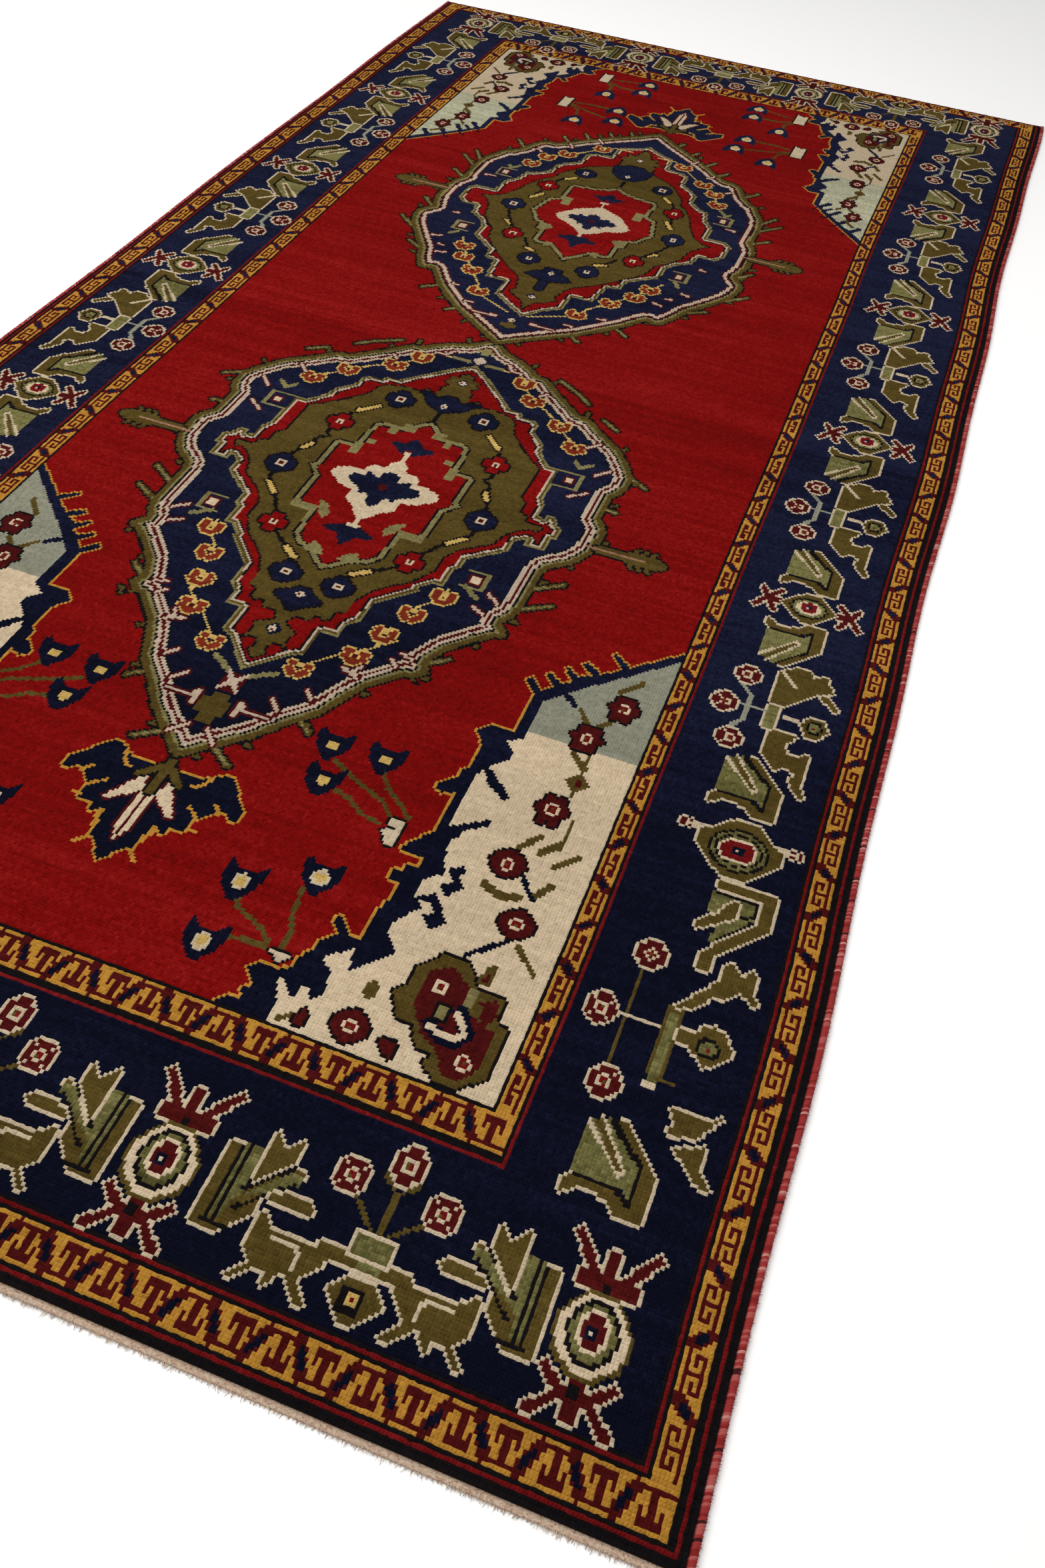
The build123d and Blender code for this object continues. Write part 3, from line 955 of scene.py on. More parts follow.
def draw_navy_band(place):
    """The blossoms on their vine, the brackets and the thorns, on a medallion's navy band."""
    vine = Pen()
    for side, run in place.each("vines"):
        vine.line(place.mirror(run, side), YELLOW, 1.0)
    vine.lay()
    for side, spot in place.each("blossoms"):
        palm_blossom(place.mirror([spot], side)[0], -side)
    thorns = Pen()
    for side, run in place.each("thorns"):
        thorns.line(place.mirror(run, side), STONE, 1.4)
    thorns.rim(MAROON).lay()
    brackets = Pen()
    for side, (x, y, half) in place.each("brackets"):
        x, y = place.mirror([(x, y)], side)[0]
        brackets.box(x - half, y - half, x + half, y + half, SAGE)
        brackets.box(x - half + 1.6, y - half + 1.4, x + half - 1.6, y + half - 1.4, NAVY)
        brackets.box(x - side * 2, y - half + 1.4, x - side * (half + 1), y + half - 1.4, NAVY)
        brackets.box(x - 2.6, y - 2.6, x + 2.6, y + 2.6, MAROON)
        brackets.box(x - 1.6, y - 1.6, x + 1.6, y + 1.6, IVORY)
    for side, run in place.each("bracket_tails"):
        brackets.line(place.mirror(run, side), SAGE, 2.1)
    brackets.lay()
    if place.is_far:
        Pen().box(199, 434, 202, 440, OLIVE).box(196.5, 435.5, 204.5, 438, OLIVE).lay()
        return
    ends = Pen()
    ends.box(197.4, 167, 202.6, 181.5, OLIVE).box(194.5, 171.5, 205.5, 178, OLIVE)
    ends.box(196, 182.5, 204, 191.5, MAROON)
    ends.lines([[(196.5, 183), (203.5, 191)], [(196.5, 191), (203.5, 183)]], STONE, 1.8)
    ends.shape([(196.4, 403.2), (200, 406.8), (203.6, 403.2), (200, 399.6)], STONE)
    ends.box(198.4, 408, 201.6, 414, SAGE).box(195.5, 409.8, 204.5, 412.2, SAGE)
    ends.lay()


def draw_medallion_spurs(place):
    """The olive spurs outside a medallion, and the leafy pendants at its two sides."""
    spurs = Pen()
    for side, run in place.each("spurs"):
        spurs.line(place.mirror(run, side, True), OLIVE, 2.3)
    spurs.rim(DARK)
    for side, run in place.each("spurs"):
        spurs.line(place.mirror(run, side, True), SAGE, 0.9)
    full = (spurs.layer != EMPTY) & (zones == place.name) & (cartoon != DARK)
    spurs.layer[full] = EMPTY
    spurs.lay(place.name)
    pendants = Pen()
    y, roots = (552.5, ((-1, 112.5), (1, 293.5))) if place.is_far else (302.5, ((-1, 104), (1, 296)))
    for side, x in roots:
        tip = x + side * 24
        pendants.line([(tip - side * 14, y), (tip, y)], OLIVE, 6.0)
        for step in (3, 6.5, 10):
            for up in (-1, 1):
                pendants.line([(tip - side * (step + 2.5), y + up * 2),
                               (tip - side * step, y + up * 6)], OLIVE, 1.8)
        pendants.line([(x - side * 2, y), (tip - side * 14, y)], OLIVE, 4.0)
    pendants.rim(DARK)
    for side, x in roots:
        pendants.line([(x - side * 6, y), (x + side * 17, y)], PINK, 1.4)
    pendants.lay()


PLACES = (Medallion("medallion_near", NEAR_FIGURES), Medallion("medallion_far", FAR_FIGURES))


# ---- Finials, spandrels and sprigs ----------------------------------------------------------

FINIAL = [
    (200.5, 147), (189, 145.5), (186, 147), (181.5, 150), (178.5, 150), (169, 139.5), (169.3, 135.5),
    (171.5, 135), (174, 137), (176, 136.5), (180, 132.5), (181.5, 131), (181.5, 126), (187.3, 126),
    (187.6, 121.5), (190.5, 125), (193, 120), (192.8, 115.5), (195, 114.5), (200.5, 108),
]


def draw_finial(at, flip, zone):
    """The navy palmette beyond a medallion's end, with gold edges and cream rays."""
    pen = Pen(at=at, anchor=(200.5, 130), flip=flip)
    pen.shape(both_sides(FINIAL, 200.5), NAVY).rim(GOLD).lay(zone)
    for side in (-1, 1):
        pen = Pen(at=at, anchor=(200.5, 130), flip=(flip[0] * side, flip[1]))
        pen.lines([
            [(175.5, 136), (178.5, 138.5)], [(181, 131.3), (185.8, 135.6)], [(193, 114.5), (189, 111)],
        ], GOLD, 1.3)
        pen.line([(191, 124.5), (191.5, 119)], GOLD, 1.6)
        pen.line([(178.5, 127.6), (181, 127.6)], GOLD, 1.1)
        pen.line([(189, 142.7), (186.5, 143.2), (184.5, 147.5)], GOLD, 1.3)
        pen.lay(zone)
        rays = pen.fresh()
        rays.shape([(197.5, 135.5), (200.5, 135.5), (200.5, 115.5), (197.8, 121)], IVORY)
        rays.shape([(194.5, 140), (197, 141.4), (198, 135.4), (190.6, 129), (188, 129.3)], IVORY)
        rays.rim(MAROON).lay(zone)
    stalk = Pen(at=at, anchor=(200.5, 130), flip=flip)
    for dx in (-7.5, 7.5):
        stalk.line([(200.5, 147.5), (200.5 + dx, 141)], OLIVE, 2.6)
    stalk.line([(200.5, 149), (200.5, 136)], OLIVE, 2.4)
    stalk.rim(DARK).lay(zone)


# The spandrel beside the near right corner. The other three are its mirrors.
SPANDREL = [
    (343, 80), (258, 80), (260.5, 83), (264.5, 83.3), (262.5, 86.3), (266, 87.7), (261, 92), (264, 95),
    (269.6, 95), (273, 97.5), (273.5, 101), (276, 105), (276.5, 108), (280, 111), (276.5, 115),
    (278, 118), (283.5, 112.5), (287, 112.5), (287, 122.5), (288.5, 127), (289, 134.5), (285.5, 134.5),
    (285.5, 138), (288.5, 138), (288.5, 141), (292.3, 141), (292, 144.5), (283.2, 144.8), (284, 146.5),
    (288, 152), (291, 155), (291, 172), (286.5, 170.3), (284, 171), (283.8, 173.5), (288.5, 177.5),
    (289, 182), (291.5, 183), (291.3, 193), (289, 196.5), (286.5, 199.3), (289, 202), (291, 203.5),
    (299, 203.5), (299.4, 221), (294, 226.5), (295, 229), (300.4, 224), (304, 228), (299.5, 232.3),
    (301.4, 233), (306, 229.5), (309.3, 231.8), (304.5, 238), (305.8, 238.4), (310.2, 235.2),
    (315, 237.2), (310, 241.7), (311.2, 243.2), (318, 239.2), (324, 244.7), (318.3, 250),
    (319.2, 251.2), (326.5, 246.3), (343, 260.5),
]
SPANDREL_GROUND = [
    (343, 80), (274, 80), (274, 86), (271, 92), (272.5, 93.5), (275.8, 89.5), (278.5, 88.5),
    (278.5, 92.5), (281, 93), (282, 89), (285.5, 92.5), (283.5, 99.6), (279.8, 103), (287.3, 110),
    (287.6, 102), (289, 102), (298.8, 111.8), (293, 117), (292.5, 120), (299, 129), (295.3, 131),
    (295, 138), (300.4, 142), (298.5, 146.5), (298, 150), (296.7, 150), (297.3, 154.8), (300, 158.3),
    (294.5, 157), (293.7, 166), (294, 181), (295.2, 183.3), (297, 187), (302.5, 191.6), (301.2, 195.8),
    (298, 198.6), (303.5, 201.7), (303.5, 219.5), (308, 224.4), (313.5, 230), (343, 256),
]
PALMETTE = [
    (306, 110), (311.5, 116.5), (317.3, 117.3), (320.4, 116.5), (325, 110.3), (334, 110),
    (334.5, 102.6), (338.2, 102.2), (338.5, 86.5), (331, 81), (324.5, 81.3), (320.2, 84), (320.8, 87.5),
    (315, 88.8), (312.9, 93.8), (307.5, 93.8), (302.5, 101), (306.3, 104.5),
]
PALMETTE_HEART = [
    (315.8, 114.3), (310.4, 110.8), (310.4, 99), (315.8, 92), (322, 89), (326, 83), (331, 83),
    (335.5, 89), (335.5, 99.6), (330, 101), (325, 103), (322.7, 110),
]


def square_eye(pen, x, y, heart=SCARLET):
    """A small square flower heart: cream outside, scarlet within."""
    pen.oval(x, y, 2.3, 2.3, IVORY)
    pen.oval(x, y, 1.45, 1.45, heart)
    pen.box(x - 0.5, y - 0.5, x + 0.5, y + 0.5, OLIVE)


def spandrel_flower(pen, x, y, crossed):
    """A maroon flower of the spandrels, with a dark edge."""
    if crossed:
        pen.shape([(x - 3.6, y - 6), (x - 0.7, y - 6), (x, y - 4.8), (x + 0.7, y - 6), (x + 3.6, y - 6),
                   (x + 3.6, y - 2.5), (x + 5.6, y - 1), (x + 5.6, y + 1), (x + 3.6, y + 2.5),
                   (x + 3.6, y + 5.4), (x + 0.7, y + 5.4), (x, y + 4.4), (x - 0.7, y + 5.4),
                   (x - 3.6, y + 5.4), (x - 3.6, y + 2.5), (x - 5.6, y + 1), (x - 5.6, y - 1),
                   (x - 3.6, y - 2.5)], MAROON)
    else:
        pen.oval(x, y, 5.6, 4.7, MAROON)


def draw_spandrel(name, at, flip, stretch, grey_from):
    """One cream corner of the field, with its navy edge, vine and great palmette."""
    outline = SPANDREL
    if flip[1] < 0:
        outline = SPANDREL[:SPANDREL.index((299.4, 221)) + 1] + [(343, 262)]
    pen = Pen(at=at, anchor=(343, 80), flip=flip, stretch=stretch)
    pen.shape(outline, NAVY).rim(GOLD)
    left, right, near, far = FIELD_BOX
    outside = (cell_x < left) | (cell_x > right) | (cell_y < near) | (cell_y > far)
    pen.layer[outside] = EMPTY
    pen.lay(name)
    ground = pen.fresh()
    ground.shape(SPANDREL_GROUND, IVORY)
    ground.layer[(ground.layer != EMPTY) & outside] = EMPTY
    upper = (ground.layer == IVORY) & ((cell_y - at[1]) * flip[1] > grey_from)
    ground.layer[upper] = GREY if flip[1] > 0 else MIST
    ground.lay()

    spikes = pen.fresh()
    spikes.shape([(295, 130.3), (300.4, 135.2), (308, 126.5), (303.8, 122.3), (300.4, 126.5),
                  (303, 128.6), (300.4, 131)], NAVY)
    spikes.shape([(300.4, 143.6), (304.2, 146.8), (306.5, 145), (304.2, 142.9), (308, 139.8),
                  (303.8, 134.5), (300.8, 138.4), (304.2, 140.1)], NAVY)
    spikes.lines([
        [(294, 157), (305, 164.5)], [(299, 181), (306.3, 176.3)], [(295.4, 185.3), (306.5, 176.5)],
    ], NAVY, 2.6)
    spikes.line([(308.5, 226.5), (314, 222.3)], NAVY, 2.4)
    if flip[1] < 0:
        for step in range(4):
            x, y = 304 + 9.5 * step, 223 + 8.6 * step
            spikes.line([(x, y), (x + 6.5, y - 7.5)], NAVY, 3.0)
            spikes.line([(x - 1, y + 3), (x - 4.5, y + 5)], DARK, 1.1)
    spikes.lay()

    leaves = pen.fresh()
    for run, width in (
        ([(318, 160), (323, 166)], 2.4), ([(325, 160.5), (330, 165.5)], 2.4),
        ([(331, 157), (337, 163)], 2.4), ([(313, 143.5), (319, 141), (325, 143)], 2.8),
        ([(329, 145), (332.5, 150)], 2.4), ([(331, 127), (338.5, 120)], 1.8),
        ([(297, 97), (297, 101)], 3.0), ([(277, 82), (280, 84)], 1.8),
        ([(327.3, 234), (333.5, 241)], 2.2), ([(316.5, 221), (321, 216)], 1.8),
        ([(325, 216), (329.6, 221)], 1.8), ([(321, 202), (326.5, 197)], 2.4),
        ([(326.3, 204), (326.5, 184.5)], 1.0), ([(330, 176), (331, 163)], 1.0),
    ):
        leaves.line(run, OLIVE, width)
    leaves.shape([(322.5, 190.5), (327, 195), (331.5, 190.5), (327, 186)], OLIVE)
    leaves.oval(327, 190.5, 1.2, 1.2, MAROON)
    leaves.lines([[(322.7, 150.5), (328.8, 143.6)], [(327.3, 128), (317.3, 118.6)]], NAVY, 1.6)
    leaves.lay()

    flowers = pen.fresh()
    for x, y, crossed in ((322.5, 177.5, True), (317, 153, False), (327.5, 134, False),
                          (323, 209.6, True), (330.8, 226.9, True), (296.3, 87, False)):
        spandrel_flower(flowers, x, y, crossed)
    flowers.shape([(281.3, 82), (284, 82), (284, 86), (282.7, 87), (281.3, 85)], MAROON)
    flowers.shape([(305.8, 87.5), (311.5, 87.5), (311.5, 81.5), (307, 84)], MAROON)
    flowers.rim(DARK)
    flowers.shape([(324, 112.5), (328, 112.5), (327.5, 119), (325, 118)], OLIVE)
    flowers.shape([(325.2, 113.5), (327, 113.5), (326.8, 117)], MAROON)
    for x, y in ((322.5, 177.5), (317, 152.5), (327.5, 134), (323, 209.6), (330.8, 226.9), (296.3, 87)):
        square_eye(flowers, x, y)
    flowers.lay()

    palmette = pen.fresh()
    palmette.shape(PALMETTE, OLIVE).rim(DARK)
    palmette.shape(PALMETTE_HEART, MAROON)
    palmette.shape([(323.5, 104.5), (326.5, 104.5), (326.5, 110), (323.5, 110)], SAGE)
    palmette.shape([(326.5, 106), (332, 109), (333.8, 104), (331, 100.5), (329, 102),
                    (329.5, 105.5)], MAROON)
    palmette.line([(316.5, 95.4), (321.5, 93), (325.5, 93.3), (328, 96.5), (323.5, 101.8)], NAVY, 4.2)
    palmette.line([(316.8, 95.4), (321.5, 93.6), (325.5, 94), (327, 96.5), (323.3, 101)], IVORY, 2.0)
    palmette.box(316, 97, 321.5, 103, DARK)
    palmette.box(317, 98, 320.5, 102, SAGE)
    square_eye(palmette, 315, 107)
    square_eye(palmette, 330.4, 88.4)
    palmette.lay()


def sprig_flower(at, flip, white):
    """A navy field flower with two ears, like a cat's head, and a golden heart."""
    pen = Pen(at=at, anchor=(244.5, 116.5), flip=flip)
    pen.shape([(238.2, 124), (241.4, 120.6), (246.8, 120.6), (250.6, 124), (251, 119.2), (249.4, 114.5),
               (246, 110.3), (243.2, 110.3), (239, 115), (237.6, 119.2)], NAVY)
    if white:
        pen.oval(244.5, 116.7, 3.0, 2.9, CREAM)
        pen.oval(244.5, 116.7, 1.7, 1.8, YELLOW)
    else:
        pen.oval(244.5, 116.7, 2.3, 1.8, YELLOW)
    pen.lay()


SPRIGS = [
    # the flowers, their stems and their white foot, near the right spandrel
    ([(244.5, 116.5, True), (266, 126.5, True), (244.5, 95, True)],
     [[(262, 100), (255, 100), (249, 98.5)], [(262, 102), (258, 105), (248, 109), (246.5, 112)],
      [(267, 101), (267, 107), (264.5, 112), (263, 121)]],
     [(263, 100.5), (272, 100.5), (268, 97)]),
    ([(245, 174.5, False), (264, 175.5, False), (249, 160, False)],
     [[(276, 155), (270, 160), (262, 163), (255, 166), (249, 169)],
      [(281, 157), (276, 161), (270, 165), (266, 170)],
      [(273, 151.5), (266, 153), (260, 157), (255, 158)]],
     [(276.5, 155.5), (281.3, 155.5), (281.3, 145), (278.5, 145), (274.5, 150.3), (279, 150.8),
      (279, 152), (276.5, 152.5)]),
]
FAR_SPRIGS = [
    ([(246, 741, True), (246, 728, True), (266.5, 714, True)],
     [[(272, 737), (264, 738), (252, 741)], [(272, 733), (262, 728), (252, 728)],
      [(272, 731), (267, 726), (267, 719)]],
     [(271.5, 731), (278, 731), (278, 744), (275, 743), (271.5, 745)]),
    ([(251, 694, True), (271, 669, True), (248, 679, True)],
     [[(282, 692), (270, 694), (256, 694)], [(282, 689), (274, 683), (272, 674)],
      [(282, 690), (268, 684), (253, 680)]],
     [(281.5, 684), (288, 684), (288, 698), (285, 697), (281.5, 699)]),
]


def draw_sprigs():
    """The loose flower sprigs of the field, mirrored on its two sides."""
    for group, axis, flip_y in ((SPRIGS, 200.5, 1), (FAR_SPRIGS, 209, -1)):
        for flowers, stems, foot in group:
            for side in (1, -1):
                pen = Pen(at=(axis, 0), anchor=(axis, 0), flip=(side, 1))
                pen.lines(stems, OLIVE, 1.6).lay()
                pen.fresh().shape(foot, CREAM).rim(DARK).lay()
                for x, y, white in flowers:
                    sprig_flower((axis + side * (x - axis), y), (1, flip_y), white)


def draw_cartoon():
    """The whole design, from the ground up."""
    draw_frames()
    draw_guard_borders()
    draw_main_border()
    for place in PLACES:
        draw_medallion(place)
    draw_finial((200.5, 130), (1, 1), "finial_near")
    draw_finial((205.5, 698), (0.97, -0.95), "finial_far")
    left, right, near, far = FIELD_BOX
    draw_spandrel("spandrel_near_right", (right, near), (1, 1), (1, 1), 125)
    draw_spandrel("spandrel_near_left", (left, near), (-1, 1), (1, 1), 125)
    draw_spandrel("spandrel_far_right", (right, far), (1, -1), (0.78, 0.85), 78)
    draw_spandrel("spandrel_far_left", (left, far), (-1, -1), (0.78, 0.85), 78)
    draw_sprigs()


draw_cartoon()


# ---------------------------------------------------------------------------------------------
# Yarns: every dye in several shades, as hand-dyed and worn wool has
# ---------------------------------------------------------------------------------------------

DYES = {
    "red": (0.166, 0.0022, 0.0019),
    "navy": (0.0046, 0.0056, 0.0190),
    "dark": (0.0052, 0.0038, 0.0044),
    "cream": (0.45, 0.365, 0.25),
    "ivory": (0.475, 0.378, 0.256),
    "gold": (0.38, 0.185, 0.026),
    "olive": (0.072, 0.048, 0.0098),
    "sage": (0.168, 0.142, 0.056),
    "maroon": (0.058, 0.0040, 0.0040),
    "scarlet": (0.125, 0.0048, 0.0055),
    "orange": (0.160, 0.020, 0.008),
    "pink": (0.26, 0.13, 0.085),
    "grey": (0.218, 0.215, 0.160),
    "yellow": (0.44, 0.30, 0.088),
    "stone": (0.40, 0.315, 0.235),
    "fern": (0.098, 0.089, 0.028),
    "mist": (0.33, 0.32, 0.22),
}
# How far the lightest and the darkest shades of a dye lie from it. The pale wools vary least.
SPREAD = {
    "navy": 0.85, "fern": 0.75, "cream": 0.13, "ivory": 0.16, "stone": 0.16, "yellow": 0.20,
    "gold": 0.24, "grey": 0.16,
}
USUAL_SPREAD = 0.36
SHADES = (-1.0, -0.5, 0.0, 0.5, 1.0)
MIDDLE = len(SHADES) // 2

# The surface of the wool. Its fibres' width and height are in metres.
FIBRE, FIBRE_LIFT = 0.0007, 0.0004
FIBRE_STRETCH = (1.0, 0.45, 0.6)
BUMP_STRENGTH = 0.8
ROUGHNESS = (0.78, 0.98)
SHEEN, SHEEN_ROUGHNESS = 0.014, 0.45
SPECULAR = 0.04


def wool_nodes(material):
    """Fibre bump and uneven roughness for a wool surface, in real sizes."""
    tree = material.node_tree
    shader = tree.nodes["Principled BSDF"]
    place = tree.nodes.new("ShaderNodeTexCoord")
    stretch = tree.nodes.new("ShaderNodeMapping")
    stretch.inputs["Scale"].default_value = FIBRE_STRETCH
    tree.links.new(place.outputs["Object"], stretch.inputs["Vector"])
    hairs = tree.nodes.new("ShaderNodeTexNoise")
    hairs.inputs["Scale"].default_value = 1.0 / FIBRE
    hairs.inputs["Detail"].default_value = 2.0
    tree.links.new(stretch.outputs["Vector"], hairs.inputs["Vector"])
    bump = tree.nodes.new("ShaderNodeBump")
    bump.inputs["Strength"].default_value = BUMP_STRENGTH
    bump.inputs["Distance"].default_value = FIBRE_LIFT
    tree.links.new(hairs.outputs["Fac"], bump.inputs["Height"])
    tree.links.new(bump.outputs["Normal"], shader.inputs["Normal"])
    rough = tree.nodes.new("ShaderNodeMapRange")
    rough.inputs["To Min"].default_value, rough.inputs["To Max"].default_value = ROUGHNESS
    tree.links.new(hairs.outputs["Fac"], rough.inputs["Value"])
    tree.links.new(rough.outputs["Result"], shader.inputs["Roughness"])
    shader.inputs["Specular IOR Level"].default_value = SPECULAR
    shader.inputs["Sheen Weight"].default_value = SHEEN
    shader.inputs["Sheen Roughness"].default_value = SHEEN_ROUGHNESS
    return shader


def wool(name, colour):
    """A wool or cotton yarn of one shade."""
    material = bpy.data.materials.new(name)
    material.use_nodes = True
    shader = wool_nodes(material)
    shader.inputs["Base Color"].default_value = (*colour, 1.0)
    tint = [min(1.0, 0.55 * c + 0.45 * sum(colour) / 3 + 0.02) for c in colour]
    shader.inputs["Sheen Tint"].default_value = (*tint, 1.0)
    material.diffuse_color = (*colour, 1.0)
    return material


def shade_colour(colour, factor):
    """A dye made lighter or darker. The lighter it fades, the greyer it gets."""
    mean = sum(colour) / 3
    grey = max(0.0, factor - 1.0) * 0.12
    return tuple(min(0.9, (c * (1 - grey) + mean * grey) * factor) for c in colour)


def dyed(name):
    """Every shade of one dye."""
    spread = SPREAD.get(name, USUAL_SPREAD)
    return [
        wool(f"wool_{name}_{index}", shade_colour(DYES[name], (1 + spread) ** step))
        for index, step in enumerate(SHADES)
    ]


yarn_materials = [dyed(name) for name in YARNS]


def smooth_noise(shape, cell_along, cell_across):
    """Soft seeded unevenness over the knots, from -1 to 1, with cells of the given size."""
    rows = int(math.ceil(shape[0] / cell_along)) + 2
    columns = int(math.ceil(shape[1] / cell_across)) + 2
    coarse = chance.uniform(-1, 1, (rows, columns))
    y = np.arange(shape[0]) / cell_along
    x = np.arange(shape[1]) / cell_across
    y0, x0 = y.astype(int), x.astype(int)
    fy, fx = y - y0, x - x0
    fy, fx = fy * fy * (3 - 2 * fy), fx * fx * (3 - 2 * fx)
    low = coarse[y0][:, x0] * (1 - fx) + coarse[y0][:, x0 + 1] * fx
    high = coarse[y0 + 1][:, x0] * (1 - fx) + coarse[y0 + 1][:, x0 + 1] * fx
    return low * (1 - fy[:, None]) + high * fy[:, None]


# How many shades lighter a yarn gets along the rug: at these rows, by this much. The navy is painted
# lighter towards the far end and darker at the near one: a painted sheen, where the pile is seen at a
# low angle. The ivory is painted darker towards the far end: painted shade, where less light falls.
# The pale green gets lighter towards the far end.
CHANGES = {
    NAVY: ([0, 140, 240, 350, 560, 808], [-2.0, -1.8, 0.2, 0.7, 1.2, 1.9]),
    IVORY: ([0, 250, 500, 808], [1.3, 0.8, -1.9, -1.6]),
    FERN: ([0, 150, 300, 808], [0.1, 0.2, 1.3, 1.9]),
}
# Two ragged bands across the rug's middle: from which row, to which row, and how much lighter.
BANDS = ((385, 402, -0.9), (405, 480, 0.5))


def pick_shades():
    """Which shade of its yarn each knot has: dye lots by the row, streaks, wear, single knots, and
    painted sheen and shade along the rug.
    """
    shape = cartoon.shape
    lots = np.zeros(KNOTS_ALONG)
    row = 0
    while row < KNOTS_ALONG:
        depth = int(chance.integers(5, 34))
        lots[row:row + depth] = chance.uniform(-0.5, 0.5)
        row += depth
    ragged = cell_y + 5 * smooth_noise(shape, 12, 40)
    level = MIDDLE + lots[:, None] + chance.uniform(-0.3, 0.3, KNOTS_ALONG)[:, None]
    for first, last, step in BANDS:
        level = level + step * ((ragged > first) & (ragged < last))
    level += 0.8 * smooth_noise(shape, 1.4, 48) + 0.5 * smooth_noise(shape, 4, 90)
    level += 0.5 * smooth_noise(shape, 55, 45) + 0.3 * smooth_noise(shape, 12, 10)
    level += chance.normal(0, 0.5, shape)
    # Here the navy gets its painted sheen towards the far end, and the ivory its painted shade.
    for yarn, (rows, steps) in CHANGES.items():
        level = np.where(cartoon == yarn, level + np.interp(cell_y, rows, steps), level)
    return np.clip(np.rint(level), 0, len(SHADES) - 1).astype(int)


shades = pick_shades()


# ---------------------------------------------------------------------------------------------
# The lie of the rug on the floor
# ---------------------------------------------------------------------------------------------

# In millimetres: how far the far end has drifted to the right, and how high the ripples are. The
# drift starts this far along the rug, and comes over this much of its length.
DRIFT, RIPPLE = 13.0, 1.9
DRIFT_START, DRIFT_RUN = 0.70, 0.30


def ease(t):
    """From 0 to 1, smoothly."""
    t = np.clip(t, 0, 1)
    return t * t * (3 - 2 * t)


def settle(x, y, z):
    """Where a point of the rug, in millimetres as woven, lies: the rug isn't quite true or flat."""
    along = (y + HALF_LENGTH) / (2 * HALF_LENGTH)
    across = x / HALF_WIDTH
    drift = DRIFT * ease((along - DRIFT_START) / DRIFT_RUN) * (1 - 0.55 * across ** 2)
    sway = 2.6 * np.sin(y / 205 + 0.6) + 1.8 * np.sin(y / 83 + 2.0)
    left_sway = 2.2 * np.sin(y / 127 + 1.1)
    side = np.where(across > 0, sway, left_sway) * np.abs(across) ** 3
    skew = 2.0 * np.sin(x / 190 + 0.9) * np.sin(y / 260)
    swell = 0.5 + 0.5 * np.sin(x / 118 + 1.4 * np.sin(y / 310))
    wave = 0.5 + 0.5 * np.sin(y / 96 + x / 900 + 0.5)
    ripple = RIPPLE * swell * wave * (1 - 0.4 * np.abs(across) ** 4)
    return np.stack([(x + drift + side) / 1000, (y + skew) / 1000, (z + ripple) / 1000], axis=-1)


def middles(grid):
    """The mean of every four neighbours in a grid."""
    return (grid[1:, 1:] + grid[1:, :-1] + grid[:-1, 1:] + grid[:-1, :-1]) / 4


corner_x, corner_y = np.meshgrid(
    np.arange(KNOTS_ACROSS + 1) * KNOT_WIDTH - HALF_WIDTH,
    np.arange(KNOTS_ALONG + 1) * KNOT_LENGTH - HALF_LENGTH,
)
# The relief of the tufts, in millimetres: how far their corners and heads lie below the pile's top,
# how far each head leans to the near end, and how far the dark and the maroon wools have worn.
CORNER_DEPTH, HEAD_DEPTH = 1.35, 0.25
LEAN = 0.55
WEAR = {DARK: 0.55, MAROON: 0.12}

jitter_x = chance.normal(0, 0.26, corner_x.shape)
jitter_y = chance.normal(0, 0.30, corner_x.shape)
jitter_x[:, (0, -1)] = 0
jitter_y[(0, -1), :] = 0
corner_x += jitter_x
corner_y += jitter_y

# A pile of cut tufts: each knot's head stands proud of its corners, leaning to the near end.
# The black-brown wool is dyed with iron, which eats it, so it has worn lower.
worn = sum(np.where(cartoon == yarn, depth, 0.0) for yarn, depth in WEAR.items())
corner_worn = np.zeros(corner_x.shape)
corner_worn[1:-1, 1:-1] = middles(worn)
corner_z = PILE_TOP - CORNER_DEPTH - corner_worn + chance.normal(0, 0.18, corner_x.shape)
head_x = middles(corner_x)
head_y = middles(corner_y)
head_x += chance.normal(0, 0.22, head_x.shape)
head_y += chance.normal(-LEAN, 0.22, head_x.shape)
head_z = PILE_TOP - HEAD_DEPTH - worn + chance.normal(0, 0.22, head_x.shape)

pile_corners = settle(corner_x, corner_y, corner_z)
pile_heads = settle(head_x, head_y, head_z)
pile_feet = settle(corner_x, corner_y, np.full(corner_x.shape, GROUND_TOP))


# ---------------------------------------------------------------------------------------------
# The pile, one piece for each zone
# ---------------------------------------------------------------------------------------------

def new_object(name, coordinates, loops, starts, material_index, materials, smooth):
    """A mesh object from flat arrays of corners, with the faces' materials and shading."""
    mesh = bpy.data.meshes.new(name)
    mesh.vertices.add(len(coordinates))
    mesh.vertices.foreach_set("co", np.asarray(coordinates, np.float32).ravel())
    mesh.loops.add(len(loops))
    mesh.loops.foreach_set("vertex_index", np.asarray(loops, np.int32))
    mesh.polygons.add(len(starts))
    mesh.polygons.foreach_set("loop_start", np.asarray(starts, np.int32))
    for material in materials:
        mesh.materials.append(material)
    mesh.update(calc_edges=True)
    mesh.polygons.foreach_set("material_index", np.asarray(material_index, np.int32))
    mesh.polygons.foreach_set("use_smooth", np.asarray(smooth, bool))
    mesh.validate()
    mesh.update()
    piece = bpy.data.objects.new(name, mesh)
    bpy.context.scene.collection.objects.link(piece)
    return piece


KNOT_CORNERS = ((0, 0), (0, 1), (1, 1), (1, 0))  # anticlockwise from above: rows, columns


def corner_id(row, column):
    """A knot corner's number."""
    return row * (KNOTS_ACROSS + 1) + column


